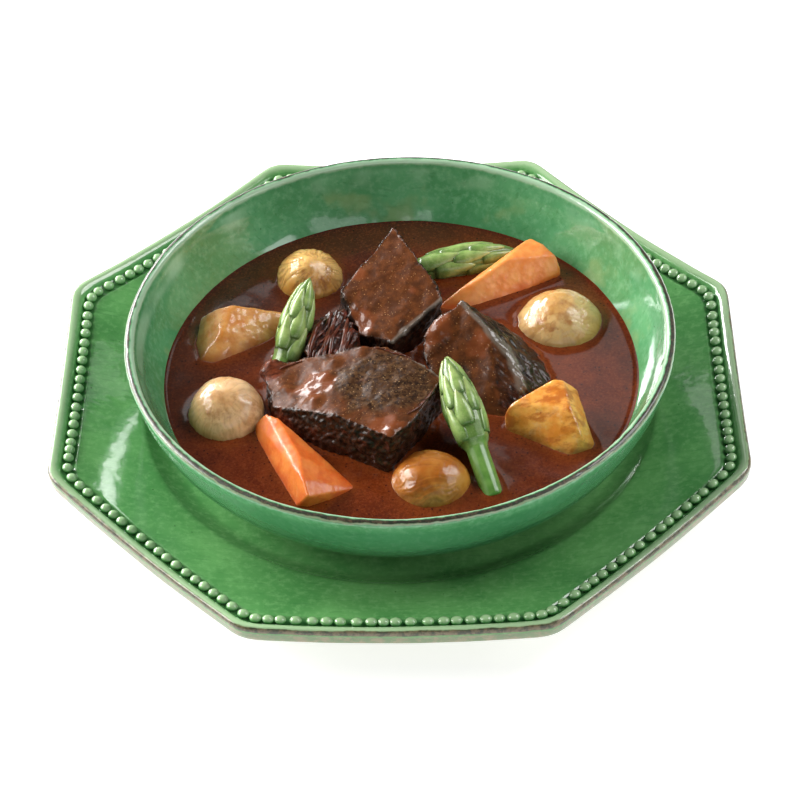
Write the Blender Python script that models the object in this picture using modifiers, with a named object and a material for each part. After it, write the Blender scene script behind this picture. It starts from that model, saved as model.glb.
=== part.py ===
"""Beef stew in a green glazed bowl, standing on its octagonal beaded plate.

Braised beef, glazed onions, potato wedges, carrot wedges and asparagus tips sit in a brown sauce.
The plate stands on z = 0 about the origin, its front side faces -Y, and +Z is up.
Lengths below are in millimetres; MM turns them into metres.
"""
import math

import bmesh
import bpy
from mathutils import Matrix, Vector, noise

MM = 0.001
GAP = 0.3
# Cutters are grown by a little more than the gap, because a corner's faces move less than the corner.
GROWTH = GAP + 0.12

# Plate: a turned dish whose edge is cut to an octagon.
PLATE_APOTHEM = 120.4
PLATE_CORNER_ROUND = 5.0
PLATE_SIDE_STEPS = 3
PLATE_CORNER_STEPS = 3
PLATE_CENTRE_TOP = 6.0
PLATE_WELL_RADIUS = 82.0
PLATE_BRIM_RADIUS = 91.0
PLATE_BRIM_HEIGHT = 10.8
PLATE_FLARE = 0.268
PLATE_THICKNESS = 4.4
PLATE_WALL_HEIGHT = 6.3
PLATE_FOOT_RADIUS = 66.0
PLATE_FOOT_WIDTH = 6.0
BEAD_INSET = 6.4
BEAD_RADIUS = 2.0
# How far each corner lies from the even octagon, in x and y, anticlockwise from the right rear one.
PLATE_CORNER_SHIFTS = [(-1.4, -4.2), (0, 0), (0, 0), (0, -0.6), (0.4, 2.0), (0, 0.6), (1.6, 0.2), (0, 0.8)]

# Bowl: a turned shell with a rounded lip and a foot ring, a little forward on the plate.
BOWL_CENTRE = (1.0, -4.5)
BOWL_RIM_RADIUS = 95.0
BOWL_TOP = 48.0
BOWL_FOOT_RADIUS = 50.0
BOWL_FOOT_WIDTH = 5.0
BOWL_SEGMENTS = 48
# Outer and inner wall radii at heights above the table, from the lip down.
BOWL_OUTER = [(94.4, 43.5), (92.2, 35.5), (88.6, 27.5), (83.0, 20.0), (75.0, 14.0), (64.0, 9.8), (55.0, 8.4)]
BOWL_INNER = [(90.6, 43.5), (88.2, 36.0), (84.4, 28.5), (79.2, 22.0), (71.5, 16.0), (60.0, 12.0), (40.0, 10.4)]
BOWL_FLOOR = 10.0

# Sauce: fills the bowl to this height and creeps up the wall by the meniscus.
SAUCE_LEVEL = 26.0
MENISCUS = 0.7
# Food keeps this far from the bowl's inner wall, with sauce between.
WALL_CLEARANCE = 1.8
SPEAR_SIDES = 12

COLLECTION = "beef_stew"
CUTTERS = "cutters"

COLOURS = {
    "green_glaze": ((0.105, 0.330, 0.130), 0.14),
    "stew_sauce": ((0.150, 0.035, 0.012), 0.18),
    "braised_beef": ((0.110, 0.038, 0.018), 0.30),
    "glazed_onion": ((0.560, 0.300, 0.090), 0.25),
    "cooked_potato": ((0.600, 0.260, 0.055), 0.32),
    "cooked_carrot": ((0.720, 0.160, 0.020), 0.28),
    "green_asparagus": ((0.230, 0.330, 0.080), 0.35),
}


def clear_scene():
    """Removes every object left in the file."""
    for obj in list(bpy.data.objects):
        bpy.data.objects.remove(obj, do_unlink=True)


def collection(name):
    """Returns the named collection, made and linked if it is new."""
    found = bpy.data.collections.get(name)
    if found is None:
        found = bpy.data.collections.new(name)
        bpy.context.scene.collection.children.link(found)
    return found


def material(name):
    """Returns the Principled material of that name."""
    found = bpy.data.materials.get(name)
    if found is None:
        colour, roughness = COLOURS[name]
        found = bpy.data.materials.new(name)
        found.use_nodes = True
        shader = found.node_tree.nodes["Principled BSDF"]
        shader.inputs["Base Color"].default_value = (*colour, 1.0)
        shader.inputs["Roughness"].default_value = roughness
        shader.inputs["Metallic"].default_value = 0.0
    return found


def add_object(name, bm, slot=None, group=COLLECTION):
    """Turns a bmesh into a linked object with its material, shaded smooth."""
    mesh = bpy.data.meshes.new(name)
    bm.to_mesh(mesh)
    bm.free()
    mesh.shade_smooth()
    mesh.set_sharp_from_angle(angle=math.radians(40))
    obj = bpy.data.objects.new(name, mesh)
    collection(group).objects.link(obj)
    if slot is not None:
        mesh.materials.append(material(slot))
    return obj


def bake(obj):
    """Applies an object's modifiers, so that what follows works on the finished mesh."""
    bpy.context.view_layer.update()
    evaluated = obj.evaluated_get(bpy.context.evaluated_depsgraph_get())
    mesh = bpy.data.meshes.new_from_object(evaluated)
    obj.modifiers.clear()
    obj.data = mesh
    return obj


def turned(name, profile, segments, slot, centre=(0.0, 0.0), group=COLLECTION):
    """Turns a profile of (radius, height) points, which runs down its outer side, about Z."""
    bm = bmesh.new()
    verts = [bm.verts.new((radius * MM, 0.0, height * MM)) for radius, height in profile]
    for upper, lower in zip(verts, verts[1:]):
        bm.edges.new((upper, lower))
    obj = add_object(name, bm, slot, group)
    obj.location = (centre[0] * MM, centre[1] * MM, 0.0)
    screw = obj.modifiers.new("turn", "SCREW")
    screw.steps = segments
    screw.render_steps = segments
    screw.use_merge_vertices = True
    screw.merge_threshold = 0.00001
    screw.use_smooth_shade = True
    return obj


def arc(centre, radius, start, end, steps):
    """Points along an arc, from one angle to another in degrees."""
    points = []
    for i in range(steps + 1):
        angle = math.radians(start + (end - start) * i / steps)
        points.append((centre[0] + radius * math.cos(angle), centre[1] + radius * math.sin(angle)))
    return points


# ---------------------------------------------------------------- plate


def plate_corners():
    """The eight corners of the plate's edge, anticlockwise from the right rear one."""
    reach = PLATE_APOTHEM / math.cos(math.pi / 8)
    corners = []
    for i, (dx, dy) in enumerate(PLATE_CORNER_SHIFTS):
        angle = math.pi / 8 + i * math.pi / 4
        corners.append(Vector((reach * math.cos(angle) + dx, reach * math.sin(angle) + dy)))
    return corners


def plate_outline():
    """The plate's edge seen from above: straight sides joined by small round corners."""
    corners = plate_corners()
    count = len(corners)
    outline = []
    for i, corner in enumerate(corners):
        before = (corners[i - 1] - corner).normalized() * PLATE_CORNER_ROUND
        after = (corners[(i + 1) % count] - corner).normalized() * PLATE_CORNER_ROUND
        for step in range(PLATE_CORNER_STEPS + 1):
            t = step / PLATE_CORNER_STEPS
            outline.append(corner + before * (1 - t) ** 2 + after * t ** 2)
        start = corner + after
        following = corners[(i + 1) % count]
        end = following - after
        for step in range(1, PLATE_SIDE_STEPS):
            outline.append(start.lerp(end, step / PLATE_SIDE_STEPS))
    return outline


def dish(radius):
    """Height of the plate's upper surface: a flat well, its wall, and a brim that rises as a shallow cone."""
    if radius >= PLATE_BRIM_RADIUS:
        return PLATE_BRIM_HEIGHT + PLATE_FLARE * (radius - PLATE_BRIM_RADIUS)
    share = (radius - PLATE_WELL_RADIUS) / (PLATE_BRIM_RADIUS - PLATE_WELL_RADIUS)
    share = max(0.0, share)
    return PLATE_CENTRE_TOP + (PLATE_BRIM_HEIGHT - PLATE_CENTRE_TOP) * share ** 1.5


def plate_ring(outline, inset, lift):
    """A ring that follows the octagon, set in from its edge and lifted off the dish."""
    scale = 1.0 - inset / PLATE_APOTHEM
    ring = []
    for point in outline:
        place = point * scale
        ring.append(Vector((place.x, place.y, dish(place.length) + lift)))
    return ring


def round_ring(outline, radius, height):
    """A circular ring with one point in the direction of each point of the outline."""
    ring = []
    for point in outline:
        place = point.normalized() * radius
        ring.append(Vector((place.x, place.y, height)))
    return ring


def build_plate():
    """The octagonal plate: well, brim, bead ridge, raised lip, outer wall and foot ring."""
    outline = plate_outline()
    foot_inner = PLATE_FOOT_RADIUS - PLATE_FOOT_WIDTH
    recess = PLATE_CENTRE_TOP - PLATE_THICKNESS
    rings = [round_ring(outline, r, dish(r)) for r in (PLATE_WELL_RADIUS, 85.0, 88.0, PLATE_BRIM_RADIUS)]
    rings.append(plate_ring(outline, BEAD_INSET + BEAD_RADIUS + 0.4, 0.0))
    rings.append(plate_ring(outline, BEAD_INSET, BEAD_RADIUS * 0.6))
    rings.append(plate_ring(outline, BEAD_INSET - BEAD_RADIUS - 0.4, -0.6))
    rings.append(plate_ring(outline, 2.6, 0.7))
    rings.append(plate_ring(outline, 1.2, 1.0))
    rings.append(plate_ring(outline, 0.0, 0.0))
    rings.append(plate_ring(outline, 0.4, 1.0 - PLATE_WALL_HEIGHT))
    rings.append(plate_ring(outline, 3.0, -PLATE_THICKNESS))
    under = PLATE_BRIM_RADIUS + 2.0
    rings.append(round_ring(outline, under, dish(under) - PLATE_THICKNESS))
    rings.append(round_ring(outline, PLATE_WELL_RADIUS, recess))
    rings.append(round_ring(outline, PLATE_FOOT_RADIUS + 0.8, recess))
    rings.append(round_ring(outline, PLATE_FOOT_RADIUS, 0.0))
    rings.append(round_ring(outline, foot_inner, 0.0))
    rings.append(round_ring(outline, foot_inner - 1.0, recess))
    bm = bmesh.new()
    loops = []
    for ring in rings:
        loops.append([bm.verts.new(point * MM) for point in ring])
    top = bm.verts.new((0.0, 0.0, dish(0.0) * MM))
    bottom = bm.verts.new((0.0, 0.0, recess * MM))
    count = len(outline)
    for i in range(count):
        j = (i + 1) % count
        bm.faces.new((top, loops[0][i], loops[0][j]))
        bm.faces.new((bottom, loops[-1][j], loops[-1][i]))
        for inner, outer in zip(loops, loops[1:]):
            bm.faces.new((inner[i], outer[i], outer[j], inner[j]))
    return add_object("plate", bm, "green_glaze")


# ---------------------------------------------------------------- bowl and sauce


def build_bowl():
    """The bowl: floor, curved wall, rounded lip, outer wall and foot ring."""
    lip = (BOWL_RIM_RADIUS - 1.7, BOWL_TOP - 1.7)
    foot_bottom = PLATE_CENTRE_TOP + GAP + 0.1
    foot_inner = BOWL_FOOT_RADIUS - BOWL_FOOT_WIDTH
    profile = [(0.0, BOWL_FLOOR)]
    profile += list(reversed(BOWL_INNER))
    profile += arc(lip, 1.7, 170, 10, 4)
    profile += BOWL_OUTER
    profile += [(BOWL_FOOT_RADIUS + 1.0, 8.0), (BOWL_FOOT_RADIUS, foot_bottom), (foot_inner, foot_bottom)]
    profile += [(foot_inner - 0.6, 7.6), (0.0, 7.4)]
    return turned("bowl", profile, BOWL_SEGMENTS, "green_glaze", BOWL_CENTRE)


def inner_radius(height):
    """Radius of the bowl's inner wall at a height above the table."""
    for (r_high, z_high), (r_low, z_low) in zip(BOWL_INNER, BOWL_INNER[1:]):
        if height >= z_low:
            return r_low + (r_high - r_low) * (height - z_low) / (z_high - z_low)
    return BOWL_INNER[-1][0]


def build_sauce():
    """The sauce: a turned body that fills the bowl up to its level, with a raised edge."""
    edge = SAUCE_LEVEL + MENISCUS
    reach = inner_radius(edge) - GAP - 0.1
    profile = [(0.0, SAUCE_LEVEL), (reach - 2.6, SAUCE_LEVEL), (reach, edge)]
    for radius, height in BOWL_INNER:
        if height < edge:
            profile.append((radius - GAP - 0.1, height + GAP))
    profile.append((0.0, BOWL_FLOOR + GAP))
    return turned("sauce", profile, BOWL_SEGMENTS, "stew_sauce", BOWL_CENTRE)


# ---------------------------------------------------------------- food


def hull(corners):
    """A closed convex body round a set of corners."""
    bm = bmesh.new()
    for corner in corners:
        bm.verts.new(Vector(corner) * MM)
    result = bmesh.ops.convex_hull(bm, input=bm.verts)
    unused = [v for v in result["geom_interior"] if isinstance(v, bmesh.types.BMVert)]
    bmesh.ops.delete(bm, geom=unused, context="VERTS")
    return bm


def uneven(obj, size, depth, seed):
    """Pushes a mesh in and out along its normals by smooth noise of one size and depth."""
    offset = Vector((seed * 7.3, seed * 3.1, seed * 5.7))
    normals = [v.normal.copy() for v in obj.data.vertices]
    for vert, normal in zip(obj.data.vertices, normals):
        wave = noise.noise(vert.co / (size * MM) + offset)
        vert.co += normal * wave * depth * MM


def build_meat(name, corners, seed, triangles=330, rounding=6):
    """A chunk of braised beef: a block with softened edges and a lumpy surface."""
    obj = add_object(name, hull(corners), "braised_beef")
    remesh = obj.modifiers.new("even", "REMESH")
    remesh.mode = "VOXEL"
    remesh.voxel_size = 1.6 * MM
    smooth = obj.modifiers.new("soften", "SMOOTH")
    smooth.factor = 0.5
    smooth.iterations = rounding
    bake(obj)
    uneven(obj, 13.0, 1.6, seed)
    uneven(obj, 6.0, 0.9, seed + 9)
    reduce_to(obj, triangles)
    return obj


def reduce_to(obj, triangles):
    """Collapses short edges until about so many triangles are left."""
    faces = sum(len(p.vertices) - 2 for p in obj.data.polygons)
    decimate = obj.modifiers.new("reduce", "DECIMATE")
    decimate.ratio = min(1.0, triangles / faces)
    bake(obj)


def build_cut(name, corners, slot, edge=1.6):
    """A piece of vegetable cut with a knife: flat faces that meet at slightly rounded edges."""
    bm = hull(corners)
    bmesh.ops.dissolve_limit(bm, angle_limit=math.radians(5), verts=bm.verts, edges=bm.edges)
    obj = add_object(name, bm, slot)
    bevel = obj.modifiers.new("edge", "BEVEL")
    bevel.width = edge * MM
    bevel.segments = 2
    bevel.limit_method = "ANGLE"
    bevel.angle_limit = math.radians(12)
    return bake(obj)


def build_onion(name, centre, radii, lean, turn, pinch):
    """A small peeled onion: a flattened ball drawn to a blunt point at its root end."""
    bm = bmesh.new()
    bmesh.ops.create_uvsphere(bm, u_segments=14, v_segments=9, radius=1.0)
    for vert in bm.verts:
        top = max(0.0, vert.co.z)
        vert.co.x *= 1.0 - 0.10 * top ** 3
        vert.co.y *= 1.0 - 0.10 * top ** 3
        vert.co.z += pinch * top ** 8
    obj = add_object(name, bm, "glazed_onion")
    place = Matrix.Translation(Vector(centre) * MM)
    tilt = Matrix.Rotation(math.radians(turn), 4, "Z") @ Matrix.Rotation(math.radians(lean), 4, "Y")
    size = Matrix.Diagonal((*(Vector(radii) * MM), 1.0))
    obj.data.transform(place @ tilt @ size)
    return obj


def build_spear(name, root, tip, head, stalk, head_share=0.72):
    """An asparagus tip: a pointed bud of overlapping scales on a thinner stalk."""
    root = Vector(root)
    tip = Vector(tip)
    length = (tip - root).length
    foot = length * (1.0 - head_share)
    profile = [(0.0, length)]
    for share, width in ((0.95, 0.20), (0.84, 0.52), (0.66, 0.82), (0.44, 1.0), (0.22, 0.96), (0.05, 0.84)):
        profile.append((head * width, foot + (length - foot) * share))
    profile += [(stalk, foot - 0.6), (stalk, 0.5 * foot), (stalk * 0.96, 0.6), (stalk - 0.7, 0.0), (0.0, 0.0)]
    obj = turned(name, profile, SPEAR_SIDES, "green_asparagus")
    bake(obj)
    turn = (tip - root).to_track_quat("Z", "Y").to_matrix().to_4x4()
    obj.data.transform(Matrix.Translation(root * MM) @ turn)
    return obj


def hide_cutter(cutter):
    """Marks an object as a cutter, which is no part of the model."""
    cutter.hide_render = True
    cutter.display_type = "WIRE"


def grown(obj):
    """A cutter the shape of an object, grown outward so that it leaves a gap."""
    bm = bmesh.new()
    bm.from_mesh(obj.data)
    bm.normal_update()
    shifts = [(v, v.normal * GROWTH * MM) for v in bm.verts]
    for vert, shift in shifts:
        vert.co += shift
    cutter = add_object(obj.name + "_cutter", bm, None, CUTTERS)
    hide_cutter(cutter)
    return cutter


def combine(obj, operation, cutter):
    """Adds a Boolean modifier that uses the cutter."""
    boolean = obj.modifiers.new(cutter.name, "BOOLEAN")
    boolean.operation = operation
    boolean.object = cutter


def build_room():
    """The space that food can take up in the bowl: its inside, a little clear of the wall."""
    profile = [(0.0, BOWL_TOP + 20.0), (BOWL_RIM_RADIUS, BOWL_TOP + 20.0)]
    for radius, height in BOWL_INNER:
        profile.append((radius - WALL_CLEARANCE, height + 0.8 * WALL_CLEARANCE))
    profile.append((0.0, BOWL_FLOOR + WALL_CLEARANCE))
    room = turned("room", profile, BOWL_SEGMENTS, None, BOWL_CENTRE, CUTTERS)
    hide_cutter(room)
    return room


# Corners of each piece, top ones first, then the ones that lie in the sauce.
BEEF_1 = [(-1.9, 52.0, 44.8), (13.5, 25.5, 41.0), (15.0, 18.5, 40.0), (-1.7, 3.0, 34.5), (-13.0, 10.0, 32.0),
          (-20.0, 27.0, 37.5), (15.5, 20.0, 24.0), (0.5, 2.5, 22.0), (-17.0, 9.0, 22.0), (-21.0, 26.0, 24.0),
          (-3.0, 50.0, 32.0), (12.0, 26.0, 13.0), (0.0, 6.0, 13.0), (-14.0, 12.0, 13.0), (-4.0, 42.0, 13.0)]
BEEF_2 = [(-46.5, -6.5, 30.0), (-34.0, -5.0, 34.0), (-12.5, -7.0, 40.5), (-3.0, -8.0, 42.0), (5.0, -14.5, 43.0),
          (15.6, -24.5, 42.0), (6.0, -45.5, 42.0), (-1.0, -53.0, 42.0), (-20.0, -40.0, 40.5), (-31.0, -34.5, 37.0),
          (-43.0, -26.0, 31.0), (-3.0, -54.0, 24.0), (10.0, -34.0, 24.0), (15.0, -24.0, 25.0),
          (-33.0, -38.5, 23.0), (-44.0, -27.0, 24.0), (-44.0, -9.0, 22.0), (-36.0, -12.0, 13.0),
          (-34.0, -30.0, 13.0), (-4.0, -46.0, 13.0), (8.0, -30.0, 13.0), (-2.0, -11.0, 13.0)]
BEEF_3 = [(22.3, 9.0, 47.0), (31.5, -1.0, 43.0), (39.5, -8.0, 37.0), (43.0, -18.0, 31.0), (10.0, 2.0, 38.0),
          (9.0, -3.0, 34.0), (43.0, 12.5, 26.0), (49.0, 4.0, 26.0), (53.0, -9.0, 26.0), (50.0, -17.0, 25.0),
          (36.0, -30.5, 25.0), (16.5, -19.5, 26.0), (37.0, 20.0, 25.0), (20.0, 16.0, 24.0),
          (40.0, 10.0, 13.0), (45.0, -8.0, 13.0), (34.0, -24.0, 13.0), (18.0, -14.0, 13.0), (14.0, 4.0, 13.0)]
BEEF_4 = [(-28.0, 18.0, 33.0), (-19.0, 20.5, 34.0), (-14.0, 6.0, 34.0), (-18.0, -8.0, 33.5), (-31.0, -4.5, 32.0),
          (-33.0, 12.0, 31.0), (-31.0, 16.0, 16.0), (-18.0, 18.0, 16.0), (-16.0, -3.0, 16.0), (-31.0, -3.0, 16.0)]
POTATO_1 = [(-65.0, 22.5, 33.6), (-59.0, 23.0, 35.2), (-50.0, 23.0, 32.0), (-39.0, 25.0, 29.0), (-44.0, 13.0, 25.0),
            (-52.5, 8.0, 25.0), (-65.0, 0.5, 25.5), (-70.5, 2.5, 26.0), (-72.5, 12.0, 26.0), (-71.0, 23.5, 29.0),
            (-62.3, 11.0, 33.0), (-62.0, 6.0, 13.0), (-52.0, 11.0, 13.0), (-44.0, 22.0, 14.0), (-64.0, 24.0, 13.0)]
POTATO_2 = [(53.5, -21.5, 38.5), (57.0, -22.0, 38.5), (38.5, -28.5, 33.5), (36.5, -29.5, 30.0), (36.5, -35.0, 25.0),
            (44.0, -40.0, 25.0), (58.0, -48.0, 25.5), (68.0, -44.0, 25.5), (62.0, -22.5, 34.0),
            (59.0, -35.0, 36.5), (62.0, -43.0, 31.0), (40.0, -30.0, 14.0), (56.0, -42.0, 14.0),
            (62.0, -36.0, 15.0), (56.0, -22.0, 14.0)]
CARROT_1 = [(47.5, 58.5, 34.5), (52.5, 54.5, 34.5), (57.0, 49.5, 33.0), (59.0, 46.5, 28.5), (57.5, 45.5, 24.0),
            (40.6, 37.0, 24.0), (27.0, 27.5, 23.0), (14.0, 22.5, 22.0), (43.8, 52.5, 35.5), (38.5, 44.0, 36.0),
            (29.5, 37.0, 33.5), (22.0, 34.5, 31.0), (13.0, 29.5, 26.0), (13.0, 30.0, 20.0), (45.0, 55.0, 20.0),
            (56.0, 48.0, 18.0), (30.0, 36.0, 18.0)]
CARROT_2 = [(-45.0, -30.5, 32.5), (-48.5, -31.5, 29.0), (-49.5, -35.0, 24.0), (-46.5, -43.5, 24.0),
            (-38.0, -61.0, 24.0), (-34.0, -69.0, 25.0), (-40.5, -34.0, 33.5), (-27.0, -46.0, 28.0),
            (-20.5, -52.5, 26.5), (-13.5, -61.0, 26.0), (-32.5, -53.8, 35.0), (-30.7, -65.8, 35.0),
            (-29.0, -71.5, 33.0), (-15.0, -62.0, 20.0), (-30.0, -68.0, 18.0), (-42.0, -36.0, 18.0)]


def build_food():
    """Makes every piece of food, clear of the bowl and its neighbours, and returns a cutter for each."""
    beef_1 = build_meat("beef_1", BEEF_1, seed=1)
    beef_2 = build_meat("beef_2", BEEF_2, seed=2, triangles=400)
    beef_3 = build_meat("beef_3", BEEF_3, seed=3)
    beef_4 = build_meat("beef_4", BEEF_4, seed=4, triangles=190, rounding=3)
    spears = [
        build_spear("asparagus_1", (-41.5, -1.0, 23.0), (-31.0, 26.5, 44.5), 5.6, 4.6, head_share=0.85),
        build_spear("asparagus_2", (2.0, 48.5, 26.0), (43.2, 57.6, 29.0), 6.4, 4.4, head_share=0.85),
        build_spear("asparagus_3", (32.6, -64.5, 24.0), (16.7, -18.9, 46.8), 6.4, 3.8, head_share=0.64)]
    near_wall = [
        build_cut("potato_1", POTATO_1, "cooked_potato", edge=2.4),
        build_cut("potato_2", POTATO_2, "cooked_potato", edge=2.4),
        build_cut("carrot_1", CARROT_1, "cooked_carrot"),
        build_cut("carrot_2", CARROT_2, "cooked_carrot"),
        build_onion("onion_1", (-32.8, 46.8, 24.0), (12.6, 12.6, 12.0), lean=-25, turn=60, pinch=0.2),
        build_onion("onion_2", (-59.2, -24.2, 25.5), (13.5, 13.5, 12.9), lean=-40, turn=30, pinch=0.0),
        build_onion("onion_3", (57.4, 21.6, 21.0), (16.2, 16.0, 14.4), lean=0, turn=0, pinch=0.05),
        build_onion("onion_4", (11.5, -58.4, 22.0), (13.8, 13.4, 13.4), lean=50, turn=0, pinch=0.1)]
    room = build_room()
    for piece in near_wall:
        combine(piece, "INTERSECT", room)
        bake(piece)
    cutters = {piece.name: grown(piece) for piece in [beef_1, beef_2, beef_3, beef_4] + spears + near_wall}
    combine(beef_4, "DIFFERENCE", cutters["beef_1"])
    combine(beef_4, "DIFFERENCE", cutters["asparagus_1"])
    return list(cutters.values())


def main():
    clear_scene()
    build_plate()
    build_bowl()
    sauce = build_sauce()
    for cutter in build_food():
        combine(sauce, "DIFFERENCE", cutter)


main()
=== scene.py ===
"""Looks of the beef stew: glazed bowl and plate, brown sauce, braised beef and vegetables.

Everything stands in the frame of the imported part. Named sizes and the places in lists are in millimetres,
and MM turns them into metres. Colours are given as the eye sees them, from 0 to 255.
"""

import math

import bmesh
import bpy
import numpy as np
from mathutils import Matrix, Vector, geometry, noise
from mathutils.bvhtree import BVHTree


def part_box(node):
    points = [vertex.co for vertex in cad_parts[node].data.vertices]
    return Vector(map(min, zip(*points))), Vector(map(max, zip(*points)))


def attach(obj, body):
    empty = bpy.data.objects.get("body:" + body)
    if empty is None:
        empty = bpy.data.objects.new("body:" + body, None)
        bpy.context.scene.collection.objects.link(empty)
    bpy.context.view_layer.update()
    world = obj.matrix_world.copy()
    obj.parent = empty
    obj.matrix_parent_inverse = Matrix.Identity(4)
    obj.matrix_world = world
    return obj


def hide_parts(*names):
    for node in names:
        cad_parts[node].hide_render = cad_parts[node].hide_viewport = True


MM = 0.001

# Bowl section, radius and height above the table in mm, from the lip down.
BOWL_OUTER = [(94.4, 43.5), (92.2, 35.5), (88.6, 27.5), (83.0, 20.0), (75.0, 14.0), (64.0, 9.8), (55.0, 8.4)]
BOWL_INNER = [(90.6, 43.5), (88.2, 36.0), (84.4, 28.5), (79.2, 22.0), (71.5, 16.0), (60.0, 12.0),
              (40.0, 10.4)]
# The turned profile starts and ends at this radius, on the bowl's floor and on its underside.
BOWL_MIDDLE = 20.0
BOWL_FLOOR = 10.1
BOWL_UNDERSIDE = 7.4
LIP_RADIUS = 1.7
BOWL_SEGMENTS = 360
BOWL_FOOT = (50.0, 45.0)
CURVE_STEPS = 7

# Plate section. Foot rings are given by their outer and inner radius.
PLATE_FOOT = (66.0, 60.0)
WELL_RADIUS = 82.0
BRIM_RADIUS = 91.0
BRIM_HEIGHT = 10.8
WELL_HEIGHT = 6.0
FLARE = 0.268
PLATE_THICKNESS = 4.4
PLATE_SEGMENTS = 600
BRIM_INSET = 9.4

# The plate's edge from the brim over the bead groove and the lip and down the wall: how far in from the
# edge, how far above the dish, and how raised or sunk the glaze is painted.
PLATE_SECTION = [(9.0, -0.05, 0.0), (8.7, -0.25, -0.3), (8.3, -0.55, -0.7), (7.6, -0.75, -1.0),
                 (6.4, -0.8, -1.0), (5.0, -0.75, -1.0), (4.4, -0.5, -0.6), (4.0, 0.0, 0.1), (3.5, 0.45, 0.4),
                 (2.9, 0.78, 0.5), (2.2, 0.97, 0.5), (1.5, 1.0, 0.5), (0.9, 0.85, 0.4), (0.45, 0.5, 0.3),
                 (0.15, 0.05, 0.1), (0.0, -0.6, 0.0), (0.05, -1.4, 0.0), (0.1, -2.4, 0.0), (0.2, -3.4, 0.0),
                 (0.35, -4.4, 0.0), (0.55, -5.0, 0.0), (1.0, -5.4, 0.0), (1.8, -5.5, 0.0),
                 (3.0, -PLATE_THICKNESS - 0.6, 0.0)]
LIP_CREST = PLATE_SECTION.index((0.9, 0.85, 0.4))

BEAD_COUNT = 160
BEAD_INSET = 6.4
BEAD_LIFT = 0.15
BEAD_HALF_SIZES = (2.08, 1.95, 1.45)

SAUCE_RINGS = 130
SAUCE_EDGE_RINGS = 14
SAUCE_SEGMENTS = 480
SAUCE_CLIMB = 0.7

# Sizes of the small faces that food is made of, and how finely strands are divided.
BEEF_VOXEL = 0.43
CUT_VOXEL = 0.45
SPEAR_VOXEL = 0.4
STRAND_STEPS = 22
STRAND_SIDES = 8
SCALE_ROWS = 12
SCALE_COLUMNS = 9
GOLDEN_ANGLE = math.radians(137.5)

# Sockets of Blender's Mix node that carry colours.
MIX_A = 6
MIX_B = 7
MIX_RESULT = 2

# Camera, aimed at a point above the plate.
CAMERA_TARGET = (1.2, -29.9, 37.0)
CAMERA_DISTANCE = 938.8
CAMERA_ELEVATION = 43.27
CAMERA_AZIMUTH = 2.20
CAMERA_ROLL = -2.333
CAMERA_LENS = 124.02
CAMERA_SENSOR = 36.0


# ---------------------------------------------------------------- meshes


def new_object(name, data):
    """A new object in the scene."""
    obj = bpy.data.objects.new(name, data)
    bpy.context.scene.collection.objects.link(obj)
    return obj


def add_mesh(name, points, faces):
    """A new object from points in metres and faces, with outward normals, shaded smooth."""
    mesh = bpy.data.meshes.new(name)
    mesh.from_pydata([tuple(p) for p in points], [], faces)
    bm = bmesh.new()
    bm.from_mesh(mesh)
    bmesh.ops.recalc_face_normals(bm, faces=bm.faces)
    bm.to_mesh(mesh)
    bm.free()
    mesh.shade_smooth()
    return new_object(name, mesh)


def sweep(name, rings):
    """A closed surface through rings of equally many points, with a fan at each end."""
    count = len(rings[0])
    points = [p for ring in rings for p in ring]
    first = np.arange(count)
    after = (first + 1) % count
    faces = []
    for row in range(len(rings) - 1):
        a = row * count
        b = a + count
        faces += np.stack([a + first, a + after, b + after, b + first], 1).tolist()
    for ring, base in ((rings[0], 0), (rings[-1], (len(rings) - 1) * count)):
        points.append(np.mean(np.array(ring), 0))
        tip = len(points) - 1
        faces += [[tip, base + i, base + (i + 1) % count] for i in range(count)]
    return add_mesh(name, points, faces)


def lathe(profile, segments, centre):
    """Rings of points for a turned shape, from (radius, height) points in mm."""
    angles = np.linspace(0.0, 2.0 * math.pi, segments, endpoint=False)
    rings = []
    for radius, height in profile:
        x = centre[0] + radius * MM * np.cos(angles)
        y = centre[1] + radius * MM * np.sin(angles)
        rings.append(np.stack([x, y, np.full(segments, height * MM)], 1))
    return rings


def paint(obj, name, values):
    """Stores one number per vertex for the materials."""
    layer = obj.data.attributes.new(name, "FLOAT", "POINT")
    layer.data.foreach_set("value", np.asarray(values, np.float32))


def points_of(obj):
    """Vertex places and normals as arrays."""
    count = len(obj.data.vertices)
    co = np.empty(count * 3)
    no = np.empty(count * 3)
    obj.data.vertices.foreach_get("co", co)
    obj.data.vertex_normals.foreach_get("vector", no)
    return co.reshape(-1, 3), no.reshape(-1, 3)


def place_points(obj, co):
    """Puts the vertices at new places."""
    obj.data.vertices.foreach_set("co", co.ravel())
    obj.data.update()


def apply_modifiers(obj):
    """Bakes the modifiers into the mesh."""
    bpy.context.view_layer.update()
    mesh = bpy.data.meshes.new_from_object(obj.evaluated_get(bpy.context.evaluated_depsgraph_get()))
    obj.modifiers.clear()
    obj.data = mesh
    mesh.shade_smooth()
    return obj


def smooth(obj, rounds, factor=0.5):
    """Evens out the mesh."""
    modifier = obj.modifiers.new("even", "SMOOTH")
    modifier.factor = factor
    modifier.iterations = rounds
    return apply_modifiers(obj)


def remesh(obj, voxel, rounds):
    """Gives the object small even faces of a size in mm, and evens it out."""
    modifier = obj.modifiers.new("fine", "REMESH")
    modifier.mode = "VOXEL"
    modifier.voxel_size = voxel * MM
    apply_modifiers(obj)
    return smooth(obj, rounds)


def fine_copy(node, name, voxel, rounds):
    """A copy of a CAD node's mesh with small even faces, to be shaped further."""
    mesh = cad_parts[node].data.copy()
    mesh.materials.clear()
    return remesh(new_object(name, mesh), voxel, rounds)


def tree_of(obj):
    """A search tree of the object's faces."""
    bm = bmesh.new()
    bm.from_mesh(obj.data)
    tree = BVHTree.FromBMesh(bm)
    bm.free()
    return tree


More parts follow.
